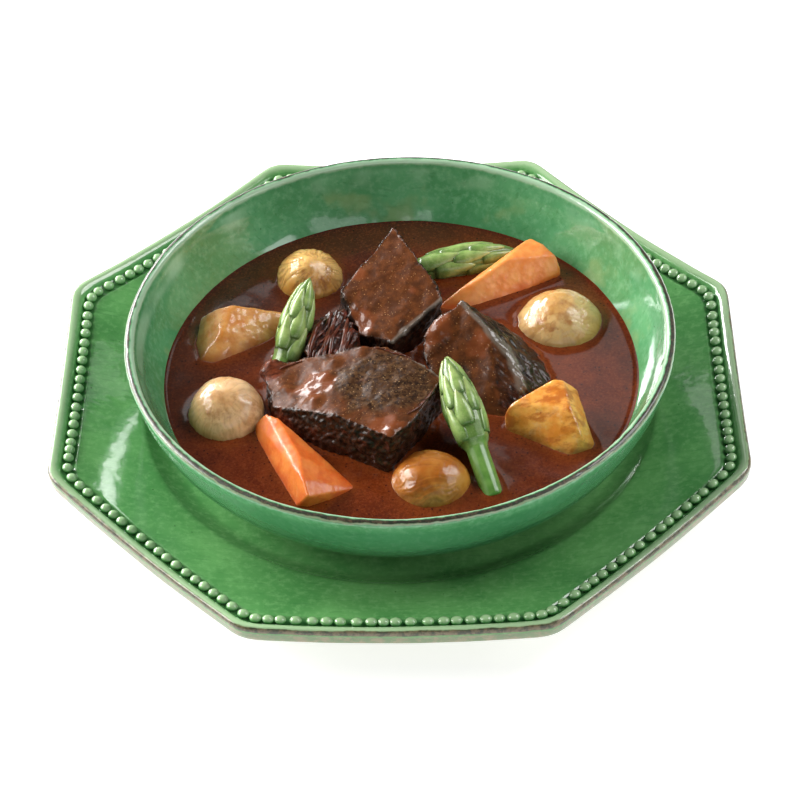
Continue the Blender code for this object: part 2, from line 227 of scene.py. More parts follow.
def wave(points, size, octaves=1, seed=0.0, along=None, stretch=1.0):
    """Smooth noise, about -1 to 1, of a size in mm; it can be stretched along a direction."""
    scaled = np.array(points) / (size * MM)
    if along is not None:
        direction = np.array(Vector(along).normalized())
        scaled -= np.outer(scaled @ direction, direction) * (1.0 - 1.0 / stretch)
    scaled += np.array([seed * 13.13, seed * 7.71, seed * 3.37])
    return np.array([noise.fractal(p, 1.0, 2.0, octaves) for p in scaled])


def ease(values, low, high):
    """0 below low, 1 above high, and a smooth step between."""
    t = np.clip((np.asarray(values, float) - low) / (high - low), 0.0, 1.0)
    return t * t * (3.0 - 2.0 * t)


def finish_piece(obj, material, node):
    """Gives a piece its material and its place in the frame."""
    obj.data.materials.clear()
    obj.data.materials.append(material)
    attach(obj, "root")
    if node is not None:
        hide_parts(node)
    return obj


# ---------------------------------------------------------------- materials


class Surface:
    """A Principled material built up from procedural layers in the object's own coordinates."""

    def __init__(self, name, roughness=0.3, coat=0.0, coat_roughness=0.05, ior=1.5, subsurface=0.0,
                 radius=(1, 1, 1)):
        self.material = bpy.data.materials.new(name)
        self.material.use_nodes = True
        self.tree = self.material.node_tree
        self.shader = self.tree.nodes["Principled BSDF"]
        self.set("Roughness", roughness)
        self.set("IOR", ior)
        self.set("Coat Weight", coat)
        self.set("Coat Roughness", coat_roughness)
        self.set("Subsurface Weight", subsurface)
        self.shader.inputs["Subsurface Radius"].default_value = radius
        self.set("Subsurface Scale", MM)
        self.place = self.tree.nodes.new("ShaderNodeTexCoord").outputs["Object"]

    def set(self, name, value):
        """Sets a socket of the shader to a number, or links it to an output."""
        socket = self.shader.inputs[name]
        if isinstance(value, bpy.types.NodeSocket):
            self.tree.links.new(value, socket)
        else:
            socket.default_value = value

    def feed(self, socket, value):
        """Gives a socket a number, another node's output, or a colour as the eye sees it, 0 to 255."""
        if isinstance(value, bpy.types.NodeSocket):
            self.tree.links.new(value, socket)
        elif isinstance(value, tuple):
            socket.default_value = (*linear(*value), 1.0)
        else:
            socket.default_value = value

    def stretched(self, scale, turn=(0.0, 0.0, 0.0)):
        """The object's coordinates, turned and then scaled along each axis."""
        mapping = self.tree.nodes.new("ShaderNodeMapping")
        mapping.vector_type = "TEXTURE"
        mapping.inputs["Scale"].default_value = scale
        mapping.inputs["Rotation"].default_value = turn
        self.feed(mapping.inputs["Vector"], self.place)
        return mapping.outputs["Vector"]

    def noise(self, size, detail=3.0, rough=0.55, where=None, distortion=0.0):
        """Noise of a size in mm."""
        node = self.tree.nodes.new("ShaderNodeTexNoise")
        node.inputs["Scale"].default_value = 1.0 / (size * MM)
        node.inputs["Detail"].default_value = detail
        node.inputs["Roughness"].default_value = rough
        node.inputs["Distortion"].default_value = distortion
        self.feed(node.inputs["Vector"], where or self.place)
        return node.outputs["Fac"]

    def cells(self, size):
        """Distance to the nearest point of a scatter whose spacing is a size in mm."""
        node = self.tree.nodes.new("ShaderNodeTexVoronoi")
        node.inputs["Scale"].default_value = 1.0 / (size * MM)
        self.feed(node.inputs["Vector"], self.place)
        return node.outputs["Distance"]

    def layer(self, name):
        """A number stored on the mesh."""
        node = self.tree.nodes.new("ShaderNodeAttribute")
        node.attribute_name = name
        return node.outputs["Fac"]

    def math(self, operation, a, b=0.0):
        """The result of a sum on numbers or outputs."""
        node = self.tree.nodes.new("ShaderNodeMath")
        node.operation = operation
        self.feed(node.inputs[0], a)
        self.feed(node.inputs[1], b)
        return node.outputs[0]

    def add(self, a, b):
        return self.math("ADD", a, b)

    def times(self, a, b):
        return self.math("MULTIPLY", a, b)

    def step(self, value, low, high):
        """0 at low and 1 at high, smooth between; low may be the larger one."""
        node = self.tree.nodes.new("ShaderNodeMapRange")
        node.interpolation_type = "SMOOTHSTEP"
        flip = low > high
        self.feed(node.inputs["Value"], value)
        node.inputs["From Min"].default_value = min(low, high)
        node.inputs["From Max"].default_value = max(low, high)
        node.inputs["To Min"].default_value = 1.0 if flip else 0.0
        node.inputs["To Max"].default_value = 0.0 if flip else 1.0
        return node.outputs["Result"]

    def band(self, value, start, peak_start, peak_end, end):
        """1 between the peaks and 0 outside start and end."""
        return self.times(self.step(value, start, peak_start), self.step(value, end, peak_end))

    def mix(self, share, a, b):
        """A colour that goes from a to b with the share."""
        node = self.tree.nodes.new("ShaderNodeMix")
        node.data_type = "RGBA"
        self.feed(node.inputs["Factor"], share)
        self.feed(node.inputs[MIX_A], a)
        self.feed(node.inputs[MIX_B], b)
        return node.outputs[MIX_RESULT]

    def over(self, colour, mask, share, paint):
        """The colour with a share of the paint over it where the mask is 1."""
        return self.mix(self.times(mask, share), colour, paint)

    def mixed(self, share, low, high):
        """A number that goes from low to high with the share."""
        node = self.math("MULTIPLY_ADD", share, high - low).node
        node.inputs[2].default_value = low
        return node.outputs[0]

    def bump(self, height, depth, strength=1.0, below=None):
        """Adds relief of a depth in mm."""
        node = self.tree.nodes.new("ShaderNodeBump")
        node.inputs["Strength"].default_value = strength
        node.inputs["Distance"].default_value = depth * MM
        self.feed(node.inputs["Height"], height)
        if below is not None:
            self.tree.links.new(below, node.inputs["Normal"])
        return node.outputs["Normal"]


def linear(red, green, blue):
    """A colour given as the eye sees it, 0 to 255, in linear light."""
    out = []
    for value in (red, green, blue):
        v = value / 255.0
        out.append(v / 12.92 if v <= 0.04045 else ((v + 0.055) / 1.055) ** 2.4)
    return tuple(out)


def glaze_material(name, deep, bright, thin, wear_and_painted_light):
    """Green glaze with pooled and thin places, flecks, brush streaks and worn edges.

    The wear function paints the worn edge over the green colour, and for the bowl also a painted highlight
    and painted shade, and returns colour and roughness.
    """
    s = Surface(name, ior=1.5, coat=0.6, coat_roughness=0.03)
    cloud = s.noise(26.0, 3.0)
    fine = s.noise(2.4, 4.0, 0.65)
    colour = s.mix(s.step(cloud, 0.35, 0.68), deep, bright)
    colour = s.over(colour, s.step(fine, 0.42, 0.75), 0.45, thin)
    streaks = s.noise(1.1, 3.0, 0.6, where=s.stretched((7.0, 0.8, 3.0)))
    colour = s.over(colour, s.step(streaks, 0.56, 0.70), 0.28, (46, 108, 56))
    flecks = s.cells(5.0)
    sparse = s.step(s.noise(9.0, 1.0), 0.50, 0.62)
    fleck = s.times(s.step(flecks, 0.075, 0.035), sparse)
    colour = s.over(colour, fleck, 0.75, (34, 52, 30))
    colour, roughness = wear_and_painted_light(s, colour)
    s.set("Base Color", colour)
    s.set("Roughness", roughness)
    ripple = s.noise(9.0, 2.0)
    relief = s.bump(ripple, 0.35, 0.5)
    relief = s.bump(s.noise(1.3, 3.0), 0.03, 0.6, relief)
    s.set("Normal", relief)
    s.set("Coat Normal", s.bump(ripple, 0.25, 0.5))
    return s.material


def bowl_wear_and_painted_light(s, colour):
    """Pale thin glaze inside the lip, a worn brown top and a line of bare clay under it, a painted highlight
    band in patches lower on the inner wall, and painted shade that darkens the outside wall and the inner
    wall low down.
    """
    edge = s.layer("edge")
    shifted = s.add(edge, s.mixed(s.noise(5.0, 4.0, 0.65), -0.8, 0.8))
    # painted shade: the outside wall is painted a darker, bluer green than the inside
    colour = s.over(colour, s.step(edge, 2.0, 8.0), 0.65, (50, 118, 76))
    # painted shade: the inner wall is painted darker from about 14 mm below the lip's crest down to the sauce
    colour = s.over(colour, s.step(edge, -14.0, -30.0), 0.45, (52, 122, 72))
    # painted highlight: a pale band in patches a little below the lip, standing for a light's reflection on
    # the inner wall
    painted_highlight_band = s.times(s.band(shifted, -12.0, -8.5, -5.5, -3.5), s.step(s.noise(34.0, 2.0), 0.44, 0.60))
    colour = s.over(colour, painted_highlight_band, 0.55, (176, 216, 180))
    pooled = s.times(s.band(edge, -34.0, -24.0, -14.0, -8.0), s.step(s.noise(22.0, 3.0), 0.54, 0.66))
    colour = s.over(colour, pooled, 0.5, (142, 168, 112))
    pale = s.band(shifted, -3.4, -2.2, -0.9, -0.3)
    colour = s.over(colour, pale, 0.8, (184, 214, 182))
    clay = s.band(shifted, 0.9, 1.2, 1.5, 2.0)
    colour = s.over(colour, clay, 0.6, (166, 160, 136))
    mottled = s.mix(s.step(s.noise(1.6, 4.0, 0.7), 0.44, 0.66), (34, 22, 16), (92, 68, 50))
    brown = s.band(shifted, -0.4, -0.1, 0.9, 1.3)
    colour = s.over(colour, brown, 0.95, mottled)
    return colour, s.mixed(brown, 0.12, 0.45)


def plate_wear(s, colour):
    """Pale lip, a brown stripe on the outer wall and a thin greenish-tan band under it."""
    edge = s.layer("edge")
    shifted = s.add(edge, s.mixed(s.noise(6.0, 4.0, 0.65), -0.9, 0.9))
    raised = s.layer("raised")
    colour = s.over(colour, s.step(raised, 0.05, 0.9), 0.65, (184, 214, 166))
    colour = s.over(colour, s.step(raised, -0.2, -0.95), 0.65, (44, 98, 50))
    pale = s.band(shifted, -2.6, -1.4, 0.0, 0.8)
    colour = s.over(colour, pale, 0.55, (186, 208, 170))
    mottled = s.mix(s.step(s.noise(1.8, 4.0, 0.7), 0.38, 0.62), (48, 32, 24), (122, 98, 74))
    brown = s.band(shifted, -0.1, 0.5, 2.0, 2.8)
    colour = s.over(colour, brown, 0.9, mottled)
    tan = s.step(shifted, 2.4, 3.6)
    thin = s.mix(s.step(s.noise(4.0, 4.0, 0.7), 0.42, 0.62), (120, 132, 98), (160, 138, 116))
    colour = s.over(colour, tan, 0.8, thin)
    return colour, s.mixed(s.math("MAXIMUM", brown, tan), 0.12, 0.32)


def sauce_material():
    """Glossy brown sauce with fat eyes and specks, redder where it is thin round the food, with painted shade
    and a painted grey reflection towards the bowl's back-left wall.
    """
    s = Surface("stew_sauce", roughness=0.12, coat=0.4, coat_roughness=0.03, ior=1.42, subsurface=0.15,
                radius=(3.0, 0.8, 0.3))
    cloud = s.noise(13.0, 4.0, 0.6, distortion=0.6)
    colour = s.mix(s.step(cloud, 0.34, 0.66), (90, 34, 13), (112, 46, 18))
    # painted shade and painted reflection: a darker, greyer brown towards the bowl's back-left wall
    colour = s.over(colour, s.layer("shade"), 0.75, (58, 36, 26))
    thin = s.layer("near")
    colour = s.over(colour, thin, 0.65, (140, 66, 24))
    speck = s.times(s.step(s.cells(2.0), 0.24, 0.14), s.step(s.noise(5.0, 2.0), 0.42, 0.56))
    colour = s.over(colour, speck, 0.85, (44, 20, 14))
    grain = s.noise(0.8, 4.0, 0.7)
    colour = s.over(colour, s.step(grain, 0.50, 0.62), 0.40, (66, 26, 14))
    colour = s.over(colour, s.step(grain, 0.48, 0.38), 0.30, (146, 72, 38))
    grouped = s.noise(5.0, 2.0, where=s.stretched((1.3, 0.9, 1)))
    light = s.times(s.step(s.cells(1.1), 0.14, 0.05), s.step(grouped, 0.5, 0.62))
    colour = s.over(colour, light, 0.35, (168, 98, 60))
    s.set("Base Color", colour)
    relief = s.bump(s.noise(5.0, 3.0), 0.06, 0.4)
    relief = s.bump(s.noise(0.9, 2.0), 0.015, 0.4, relief)
    s.set("Normal", relief)
    return s.material


def beef_material(name, fibre_scale, fibre_turn, red):
    """Braised meat: dark fibres, hollows darkened with painted shade, and a brown coat of sauce where the
    film lies.

    red makes the bare meat redder and lighter, on the eye's scale of 0 to 255.
    """
    s = Surface(name, coat_roughness=0.09, ior=1.36, subsurface=0.05, radius=(1.5, 0.5, 0.3))
    film = s.layer("film")
    grainy = s.layer("grainy")
    fibres = s.noise(0.9, 4.0, 0.65, where=s.stretched(fibre_scale, fibre_turn))
    clumps = s.noise(3.4, 4.0, 0.6)
    fine = s.noise(0.9, 4.0, 0.65)
    bare = s.mix(s.step(fibres, 0.38, 0.66), (20, 12, 9), (58 + red, 35 + red / 3, 22 + red / 5))
    bare = s.over(bare, s.step(clumps, 0.52, 0.68), 0.5 + red / 120, (78 + red, 36 + red / 4, 22 + red / 6))
    # painted shade: the hollows between the fibres of bare meat are painted near black
    bare = s.over(bare, s.layer("hollow_shade"), 0.75 - red / 100, (16, 8, 6))
    coat = s.mix(s.step(clumps, 0.36, 0.66), (76, 40, 17), (104, 57, 26))
    coat = s.over(coat, s.step(fine, 0.50, 0.66), 0.4, (58, 31, 14))
    speck = s.times(s.step(s.cells(1.0), 0.24, 0.12), s.step(s.noise(2.6, 3.0), 0.40, 0.62))
    coat = s.over(coat, speck, 0.75, (186, 132, 80))
    thin = s.mix(s.step(s.noise(1.5, 5.0, 0.7), 0.40, 0.60), (30, 21, 14), (88, 62, 38))
    thin = s.over(thin, s.step(clumps, 0.48, 0.64), 0.7, (48, 32, 18))
    coat = s.over(coat, s.layer("wet"), 0.6, (132, 68, 34))
    coat = s.over(coat, grainy, 0.85, s.over(thin, speck, 0.9, (186, 148, 104)))
    colour = s.mix(film, bare, coat)
    flesh = s.mix(s.step(fibres, 0.36, 0.64), (74, 30, 18), (138, 68, 42))
    colour = s.over(colour, s.layer("red"), 0.8, flesh)
    colour = s.over(colour, s.layer("low"), s.times(s.step(film, 0.5, 0.0), 0.5), (64, 28, 14))
    # pale grey glossy strips along edges: partly sinew, partly a painted grey reflection of the sky
    colour = s.over(colour, s.layer("sinew_and_sheen"), 0.75, (128, 116, 104))
    s.set("Base Color", colour)
    gloss = s.layer("gloss")
    s.set("Roughness", s.mixed(gloss, 0.45, 0.30))
    s.set("Specular IOR Level", 0.2)
    s.set("Coat Weight", s.mixed(gloss, 0.02, 1.0))
    relief = s.bump(s.times(fibres, s.step(film, 0.8, 0.2)), 0.45, 0.8)
    relief = s.bump(s.math("MAXIMUM", fine, s.times(speck, 0.9)), 0.12, 0.7, relief)
    s.set("Normal", relief)
    shine = s.bump(s.times(s.noise(3.4, 2.0, 0.5), gloss), 0.45, 0.8)
    shine = s.bump(speck, 0.08, 0.8, shine)
    s.set("Coat Normal", shine)
    return s.material


def onion_material(name, light, mid, brown, veins):
    """A braised small onion: light to amber, browner along its veins, in patches and near the sauce."""
    s = Surface(name, roughness=0.26, coat=0.45, coat_roughness=0.07, ior=1.42, subsurface=0.3,
                radius=(3.0, 1.6, 0.6))
    patch = s.noise(10.0, 3.0, 0.55)
    colour = s.mix(s.step(patch, 0.36, 0.66), light, mid)
    colour = s.over(colour, s.step(s.layer("vein"), 0.15, 0.9), veins, brown)
    cloud = s.times(s.noise(4.0, 4.0, 0.6), 1.4)
    stain = s.times(s.layer("browned"), s.step(s.add(cloud, -0.35), 0.05, 0.65))
    colour = s.over(colour, stain, 0.7, brown)
    colour = s.over(colour, s.layer("low"), 0.6, (132, 72, 26))
    fine = s.noise(1.2, 3.0, 0.6)
    colour = s.over(colour, s.step(fine, 0.56, 0.74), 0.22, brown)
    s.set("Base Color", colour)
    relief = s.bump(s.noise(1.4, 3.0, 0.6), 0.10, 0.5)
    s.set("Normal", relief)
    s.set("Coat Normal", s.bump(s.noise(1.6, 4.0, 0.65), 0.30, 0.6))
    return s.material


def potato_material(name, light, dark, frying):
    """Boiled and browned potato: golden flesh, browner along its edges and stained by the sauce."""
    s = Surface(name, roughness=0.34, coat=0.55, coat_roughness=0.10, ior=1.42, subsurface=0.3,
                radius=(2.5, 1.3, 0.4))
    patch = s.noise(7.0, 4.0, 0.6)
    colour = s.mix(s.step(patch, 0.36, 0.66), light, dark)
    pale = s.step(s.noise(4.0, 3.0), 0.54, 0.70)
    colour = s.over(colour, pale, 0.4, (232, 190, 128))
    fried = s.step(s.noise(5.5, 4.0, 0.62, where=s.stretched((1.6, 0.8, 1.0))), 0.45, 0.64)
    colour = s.over(colour, fried, frying, (186, 96, 22))
    rim = s.add(s.layer("ridge"), s.times(s.noise(2.5, 3.0), 0.35))
    colour = s.over(colour, s.step(rim, 0.45, 0.85), 0.65, (128, 60, 22))
    colour = s.over(colour, s.layer("low"), 0.75, (140, 66, 24))
    speck = s.times(s.step(s.cells(1.6), 0.16, 0.07), s.step(s.noise(4.0, 2.0), 0.50, 0.62))
    colour = s.over(colour, speck, 0.7, (92, 46, 20))
    s.set("Base Color", colour)
    relief = s.bump(s.noise(1.1, 4.0, 0.65), 0.12, 0.5)
    s.set("Normal", relief)
    return s.material


def carrot_material(name, light, dark):
    """Cooked carrot: bright orange with faint growth lines, redder low down, and a painted highlight along
    its ridges.
    """
    s = Surface(name, roughness=0.38, coat=0.2, coat_roughness=0.14, ior=1.42, subsurface=0.3,
                radius=(2.5, 0.8, 0.2))
    patch = s.noise(6.0, 3.0, 0.55)
    colour = s.mix(s.step(patch, 0.36, 0.66), light, dark)
    fine = s.noise(0.8, 3.0, 0.6, where=s.stretched((3.0, 2.0, 1.0), (0.0, 0.0, 0.6)))
    colour = s.over(colour, s.step(fine, 0.5, 0.7), 0.3, (244, 152, 72))
    colour = s.over(colour, s.layer("low"), 0.7, (204, 76, 26))
    # painted highlight: lighter orange along the ridges
    colour = s.over(colour, s.layer("ridge"), 0.25, (246, 164, 88))
    s.set("Base Color", colour)
    relief = s.bump(s.noise(1.2, 3.0, 0.6), 0.06, 0.5)
    s.set("Normal", relief)
    return s.material


def asparagus_material():
    """Green asparagus: pale green bud scales, darker along their edges and in the creases, partly their own
    colour and partly painted shade, and yellower at their tips.
    """
    s = Surface("green_asparagus", roughness=0.30, coat=0.5, coat_roughness=0.10, ior=1.42, subsurface=0.25,
                radius=(1.0, 1.6, 0.6))
    patch = s.noise(3.5, 3.0, 0.6)
    colour = s.mix(s.step(patch, 0.35, 0.65), (122, 156, 76), (164, 190, 112))
    rim = s.layer("scale_edge")
    # darker green at the scales' edges and in the creases between them: partly the scales' own colour, partly
    # painted shade
    colour = s.over(colour, s.step(rim, 0.35, 0.9), 0.8, (66, 98, 40))
    colour = s.over(colour, s.layer("scale_tip"), 0.5, (184, 186, 126))
    lines = s.noise(0.5, 3.0, 0.6)
    colour = s.over(colour, s.step(lines, 0.52, 0.70), 0.25, (186, 204, 150))
    colour = s.over(colour, s.layer("stalk"), 0.8, s.mix(patch, (60, 116, 44), (120, 164, 78)))
    s.set("Base Color", colour)
    relief = s.bump(s.noise(0.7, 3.0, 0.6), 0.08, 0.5)
    s.set("Normal", relief)
    return s.material


# ---------------------------------------------------------------- plate


def dish(radius):
    """Height of the plate's upper surface in mm at a radius in mm."""
    rise = BRIM_HEIGHT + FLARE * (radius - BRIM_RADIUS)
    share = np.clip((radius - WELL_RADIUS) / (BRIM_RADIUS - WELL_RADIUS), 0.0, 1.0)
    well = WELL_HEIGHT + (BRIM_HEIGHT - WELL_HEIGHT) * share ** 1.5
    return np.where(radius >= BRIM_RADIUS, rise, well)


def plate_edge(count):
    """Points round the plate's outer edge in mm, taken from the CAD solid's outline."""
    flat = [Vector((v.co.x, v.co.y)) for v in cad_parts["plate"].data.vertices]
    order = geometry.convex_hull_2d(flat)
    loop = [flat[i] for i in order]
    angles = np.array([math.atan2(p.y, p.x) for p in loop])
    sort = np.argsort(angles)
    loop = [loop[i] for i in sort]
    out = []
    for k in range(count):
        far = Vector((math.cos(2 * math.pi * k / count), math.sin(2 * math.pi * k / count)))
        for a, b in zip(loop, loop[1:] + loop[:1]):
            hit = geometry.intersect_line_line_2d(Vector((0, 0)), far, a, b)
            if hit is not None:
                out.append((hit.x / MM, hit.y / MM))
                break
    return np.array(out)


def brim_ring(edge, inset, lift):
    """A ring that follows the plate's edge, set in and lifted off the dish, in metres."""
    apothem = np.linalg.norm(edge, axis=1).min()
    flat = edge * (1.0 - inset / apothem)
    height = dish(np.linalg.norm(flat, axis=1)) + lift
    return np.column_stack([flat, height]) * MM


def build_plate(material):
    """The plate's body: well, brim, bead groove, lip, wall and foot ring.

    Each ring is painted with its distance past the lip's crest in mm, negative on the upper side, and with
    how raised or sunk it is.
    """
    edge = plate_edge(PLATE_SEGMENTS)
    unit = edge / np.linalg.norm(edge, axis=1)[:, None]
    rings, marks = [], []

    def circle(radius, height):
        """A round ring, with radius and height in mm."""
        return np.column_stack([unit * radius, np.full(len(unit), height)]) * MM

    def add(ring, distance, raised=0.0):
        rings.append(ring)
        marks.append((distance, raised))

    def add_blend(start, end, share, drop, distance):
        """Adds a ring part of the way from one outline to another, a drop in mm below the dish."""
        flat = start[:, :2] * (1.0 - share) + end[:, :2] * share
        height = (dish(np.linalg.norm(flat, axis=1) / MM) - drop) * MM
        add(np.column_stack([flat, height]), distance)

    for radius in (30.0, 60.0, 76.0, 80.0):
        add(circle(radius, WELL_HEIGHT), -60.0)
    for radius in np.linspace(WELL_RADIUS, BRIM_RADIUS - 0.5, 12):
        add(circle(radius, float(dish(radius))), -50.0)
    add(circle(BRIM_RADIUS, BRIM_HEIGHT - 0.1), -40.0)
    for share in np.linspace(0.0, 1.0, 22):
        add_blend(circle(BRIM_RADIUS + 1.0, 0.0), brim_ring(edge, BRIM_INSET, 0.0), share, 0.0,
                  -36.0 + 26.0 * share)

    distances = []
    travelled = 0.0
    before = (BRIM_INSET, 0.0)
    for inset, lift, _ in PLATE_SECTION:
        travelled += math.hypot(inset - before[0], lift - before[1])
        before = (inset, lift)
        distances.append(travelled)
    for (inset, lift, raised), distance in zip(PLATE_SECTION, distances):
        add(brim_ring(edge, inset, lift), distance - distances[LIP_CREST], raised)

    last = marks[-1][0]
    for share in (0.35, 0.7, 1.0):
        add_blend(brim_ring(edge, 3.0, 0.0), circle(BRIM_RADIUS + 2.0, 0.0), share, PLATE_THICKNESS,
                  last + 20.0 * share)
    recess = WELL_HEIGHT - PLATE_THICKNESS
    outer, inner = PLATE_FOOT
    for radius, height in ((WELL_RADIUS, recess), (outer + 1.4, recess), (outer + 0.6, recess - 0.3),
                           (outer, 0.5), (outer - 0.6, 0.0), (inner + 0.6, 0.0), (inner, 0.5),
                           (inner - 0.6, recess - 0.3), (inner - 1.4, recess), (30.0, recess)):
        add(circle(radius, height), last + 40.0)

    obj = sweep("plate_body", rings)
    for column, name in enumerate(("edge", "raised")):
        values = [np.full(PLATE_SEGMENTS, mark[column]) for mark in marks]
        tips = [marks[0][column], marks[-1][column]]
        paint(obj, name, np.concatenate(values + [tips]))
    co, no = points_of(obj)
    co = co + no * (wave(co, 30.0, 2, 5.0) * 0.18 * MM)[:, None] * (co[:, 2] > 2 * MM)[:, None]
    place_points(obj, co)
    return finish_piece(obj, material, "plate")


def build_beads(material):
    """The string of beads in the plate's groove."""
    ring = brim_ring(plate_edge(1600), BEAD_INSET, BEAD_LIFT)
    steps = np.linalg.norm(np.roll(ring, -1, 0) - ring, axis=1)
    run = np.concatenate([[0.0], np.cumsum(steps)])
    closed = np.vstack([ring, ring[:1]])
    long, wide, tall = BEAD_HALF_SIZES
    bm = bmesh.new()
    lifts = []
    for k in range(BEAD_COUNT):
        at = run[-1] * (k + 0.35 * noise.noise(Vector((k * 0.37, 2.0, 0.0)))) / BEAD_COUNT
        place = np.array([np.interp(at % run[-1], run, closed[:, i]) for i in range(3)])
        ahead = np.array([np.interp((at + MM) % run[-1], run, closed[:, i]) for i in range(3)])
        along = Vector(ahead - place).normalized()
        out = Vector((place[0], place[1], 0.0)).normalized()
        up = (Vector((0, 0, 1)) - out * FLARE).normalized()
        side = up.cross(along).normalized()
        size = 1.0 + 0.10 * noise.noise(Vector((k * 0.91, 5.0, 1.0)))
        axes = (along * long * size * MM, side * wide * MM, up * tall * size * MM)
        matrix = Matrix(axes).transposed().to_4x4()
        matrix.translation = Vector(place)
        made = bmesh.ops.create_uvsphere(bm, u_segments=16, v_segments=9, radius=1.0)
        for vert in made["verts"]:
            lifts.append((vert, vert.co.z))
            vert.co = matrix @ vert.co
    mesh = bpy.data.meshes.new("plate_beads")
    bm.verts.index_update()
    heights = np.zeros(len(bm.verts))
    for vert, lift in lifts:
        heights[vert.index] = lift
    bm.to_mesh(mesh)
    bm.free()
    mesh.shade_smooth()
    obj = new_object("plate_beads", mesh)
    before_crest = -8.0
    paint(obj, "edge", np.full(len(heights), before_crest))
    paint(obj, "raised", np.where(heights > 0.1, heights * 1.25, -1.0 + heights))
    return finish_piece(obj, material, None)


# ---------------------------------------------------------------- bowl and sauce


def rounded(points, per_step):
    """A smooth curve through points (Catmull-Rom)."""
    pts = [np.array(p, float) for p in points]
    pts = [2 * pts[0] - pts[1]] + pts + [2 * pts[-1] - pts[-2]]
    out = []
    for a, b, c, d in zip(pts, pts[1:], pts[2:], pts[3:]):
        for k in range(per_step):
            t = k / per_step
            out.append(0.5 * ((2 * b) + (c - a) * t + (2 * a - 5 * b + 4 * c - d) * t * t
                              + (3 * b - a - 3 * c + d) * t ** 3))
    out.append(pts[-2])
    return [tuple(p) for p in out]


def bowl_centre():
    """Where the bowl's axis stands, in metres."""
    low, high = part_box("bowl")
    return (low.x + high.x) / 2, (low.y + high.y) / 2


def build_bowl(material):
    """The turned bowl with its rolled lip and foot ring, painted with the distance past the lip's crest."""
    low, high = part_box("bowl")
    foot = low.z / MM
    lip_middle = (high.x - low.x) / 2 / MM - LIP_RADIUS
    lip_height = high.z / MM - LIP_RADIUS
    lip = []
    for angle in range(180, -1, -12):
        turn = math.radians(angle)
        lip.append((lip_middle + LIP_RADIUS * math.cos(turn), lip_height + LIP_RADIUS * math.sin(turn)))
    inside = rounded(BOWL_INNER, CURVE_STEPS)[::-1]
    outer, inner = BOWL_FOOT
    profile = [(BOWL_MIDDLE, BOWL_FLOOR)] + inside + lip + rounded(BOWL_OUTER, CURVE_STEPS)
    profile += [(outer + 1.0, 8.0), (outer + 0.4, 7.2), (outer, foot + 0.3), (outer - 0.4, foot),
                (inner + 0.4, foot), (inner, foot + 0.3), (inner - 0.6, BOWL_UNDERSIDE),
                (BOWL_MIDDLE, BOWL_UNDERSIDE)]
    crest = 1 + len(inside) + len(lip) // 2
    obj = sweep("bowl_body", lathe(profile, BOWL_SEGMENTS, bowl_centre()))
    steps = [0.0] + [math.dist(a, b) for a, b in zip(profile, profile[1:])]
    run = np.cumsum(steps)
    run = run - run[crest]
    values = np.concatenate([np.full(BOWL_SEGMENTS, v) for v in run] + [[run[0], run[-1]]])
    paint(obj, "edge", values)
    paint(obj, "raised", np.zeros(len(values)))
    co, no = points_of(obj)
    high_up = ease(co[:, 2], 26 * MM, 44 * MM)
    co = co + no * (wave(co, 34.0, 2, 3.0) * 0.22 * MM * high_up)[:, None]
    chips = np.clip(wave(co, 2.6, 2, 8.0) - 0.25, 0.0, 1.0) * (np.abs(values) < 3.0)
    co = co - no * (chips * 0.45 * MM)[:, None]
    place_points(obj, co)
    return finish_piece(obj, material, "bowl")


def inner_radius(height):
    """Radius of the bowl's inner wall in mm at a height in mm."""
    curve = rounded(BOWL_INNER, CURVE_STEPS)
    heights = [p[1] for p in reversed(curve)]
    radii = [p[0] for p in reversed(curve)]
    return float(np.interp(height, heights, radii))


def level_of_sauce():
    """Height of the sauce where it lies flat, in metres."""
    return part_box("sauce")[1].z - SAUCE_CLIMB * MM


def build_sauce(material, trees):
    """The sauce: its surface creeps up the wall and round each piece of food."""
    centre = bowl_centre()
    level = level_of_sauce() / MM
    reach = inner_radius(level + 1.0) + 0.25
    middle = np.linspace(2.0, reach - 5.0, SAUCE_RINGS - SAUCE_EDGE_RINGS)
    radii = np.concatenate([middle, np.linspace(reach - 4.6, reach, SAUCE_EDGE_RINGS)])
    top = np.concatenate(lathe([(radius, level) for radius in radii], SAUCE_SEGMENTS, centre))
    radial = np.repeat(radii, SAUCE_SEGMENTS)
    wall = np.exp(-(reach - radial) / 1.1)
    distance = np.full(len(top), 0.02)
    for tree in trees:
        for i, p in enumerate(top):
            hit = tree.find_nearest(p, distance[i])
            if hit[0] is not None:
                distance[i] = min(distance[i], hit[3])
    near = np.exp(-distance / MM)
    ripple = wave(top, 16.0, 2, 2.0) * 0.08 + wave(top, 5.0, 2, 6.0) * 0.015
    top[:, 2] += (0.8 * wall + 0.60 * near + ripple) * MM
    wall_side = [(radius - 0.4, height + 0.4) for radius, height in rounded(BOWL_INNER, 3)
                 if height < level - 1.0]
    obj = sweep("sauce_body", np.split(top, len(radii)) + lathe(wall_side, SAUCE_SEGMENTS, centre))
    halo = np.exp(-distance / MM / 3.5)
    below = np.zeros(len(obj.data.vertices) - len(top))
    # painted shade and painted reflection haze, growing towards the bowl's back-left wall
    behind = (top[:, 1] - centre[1]) * 0.75 - (top[:, 0] - centre[0]) * 0.66
    shade = ease(behind / MM + 8.0 * wave(top, 20.0, 2, 9.0), 8.0, 66.0)
    paint(obj, "shade", np.concatenate([shade, below]))
    paint(obj, "near", np.concatenate([halo, below]))
    return finish_piece(obj, material, "sauce")


# ---------------------------------------------------------------- food


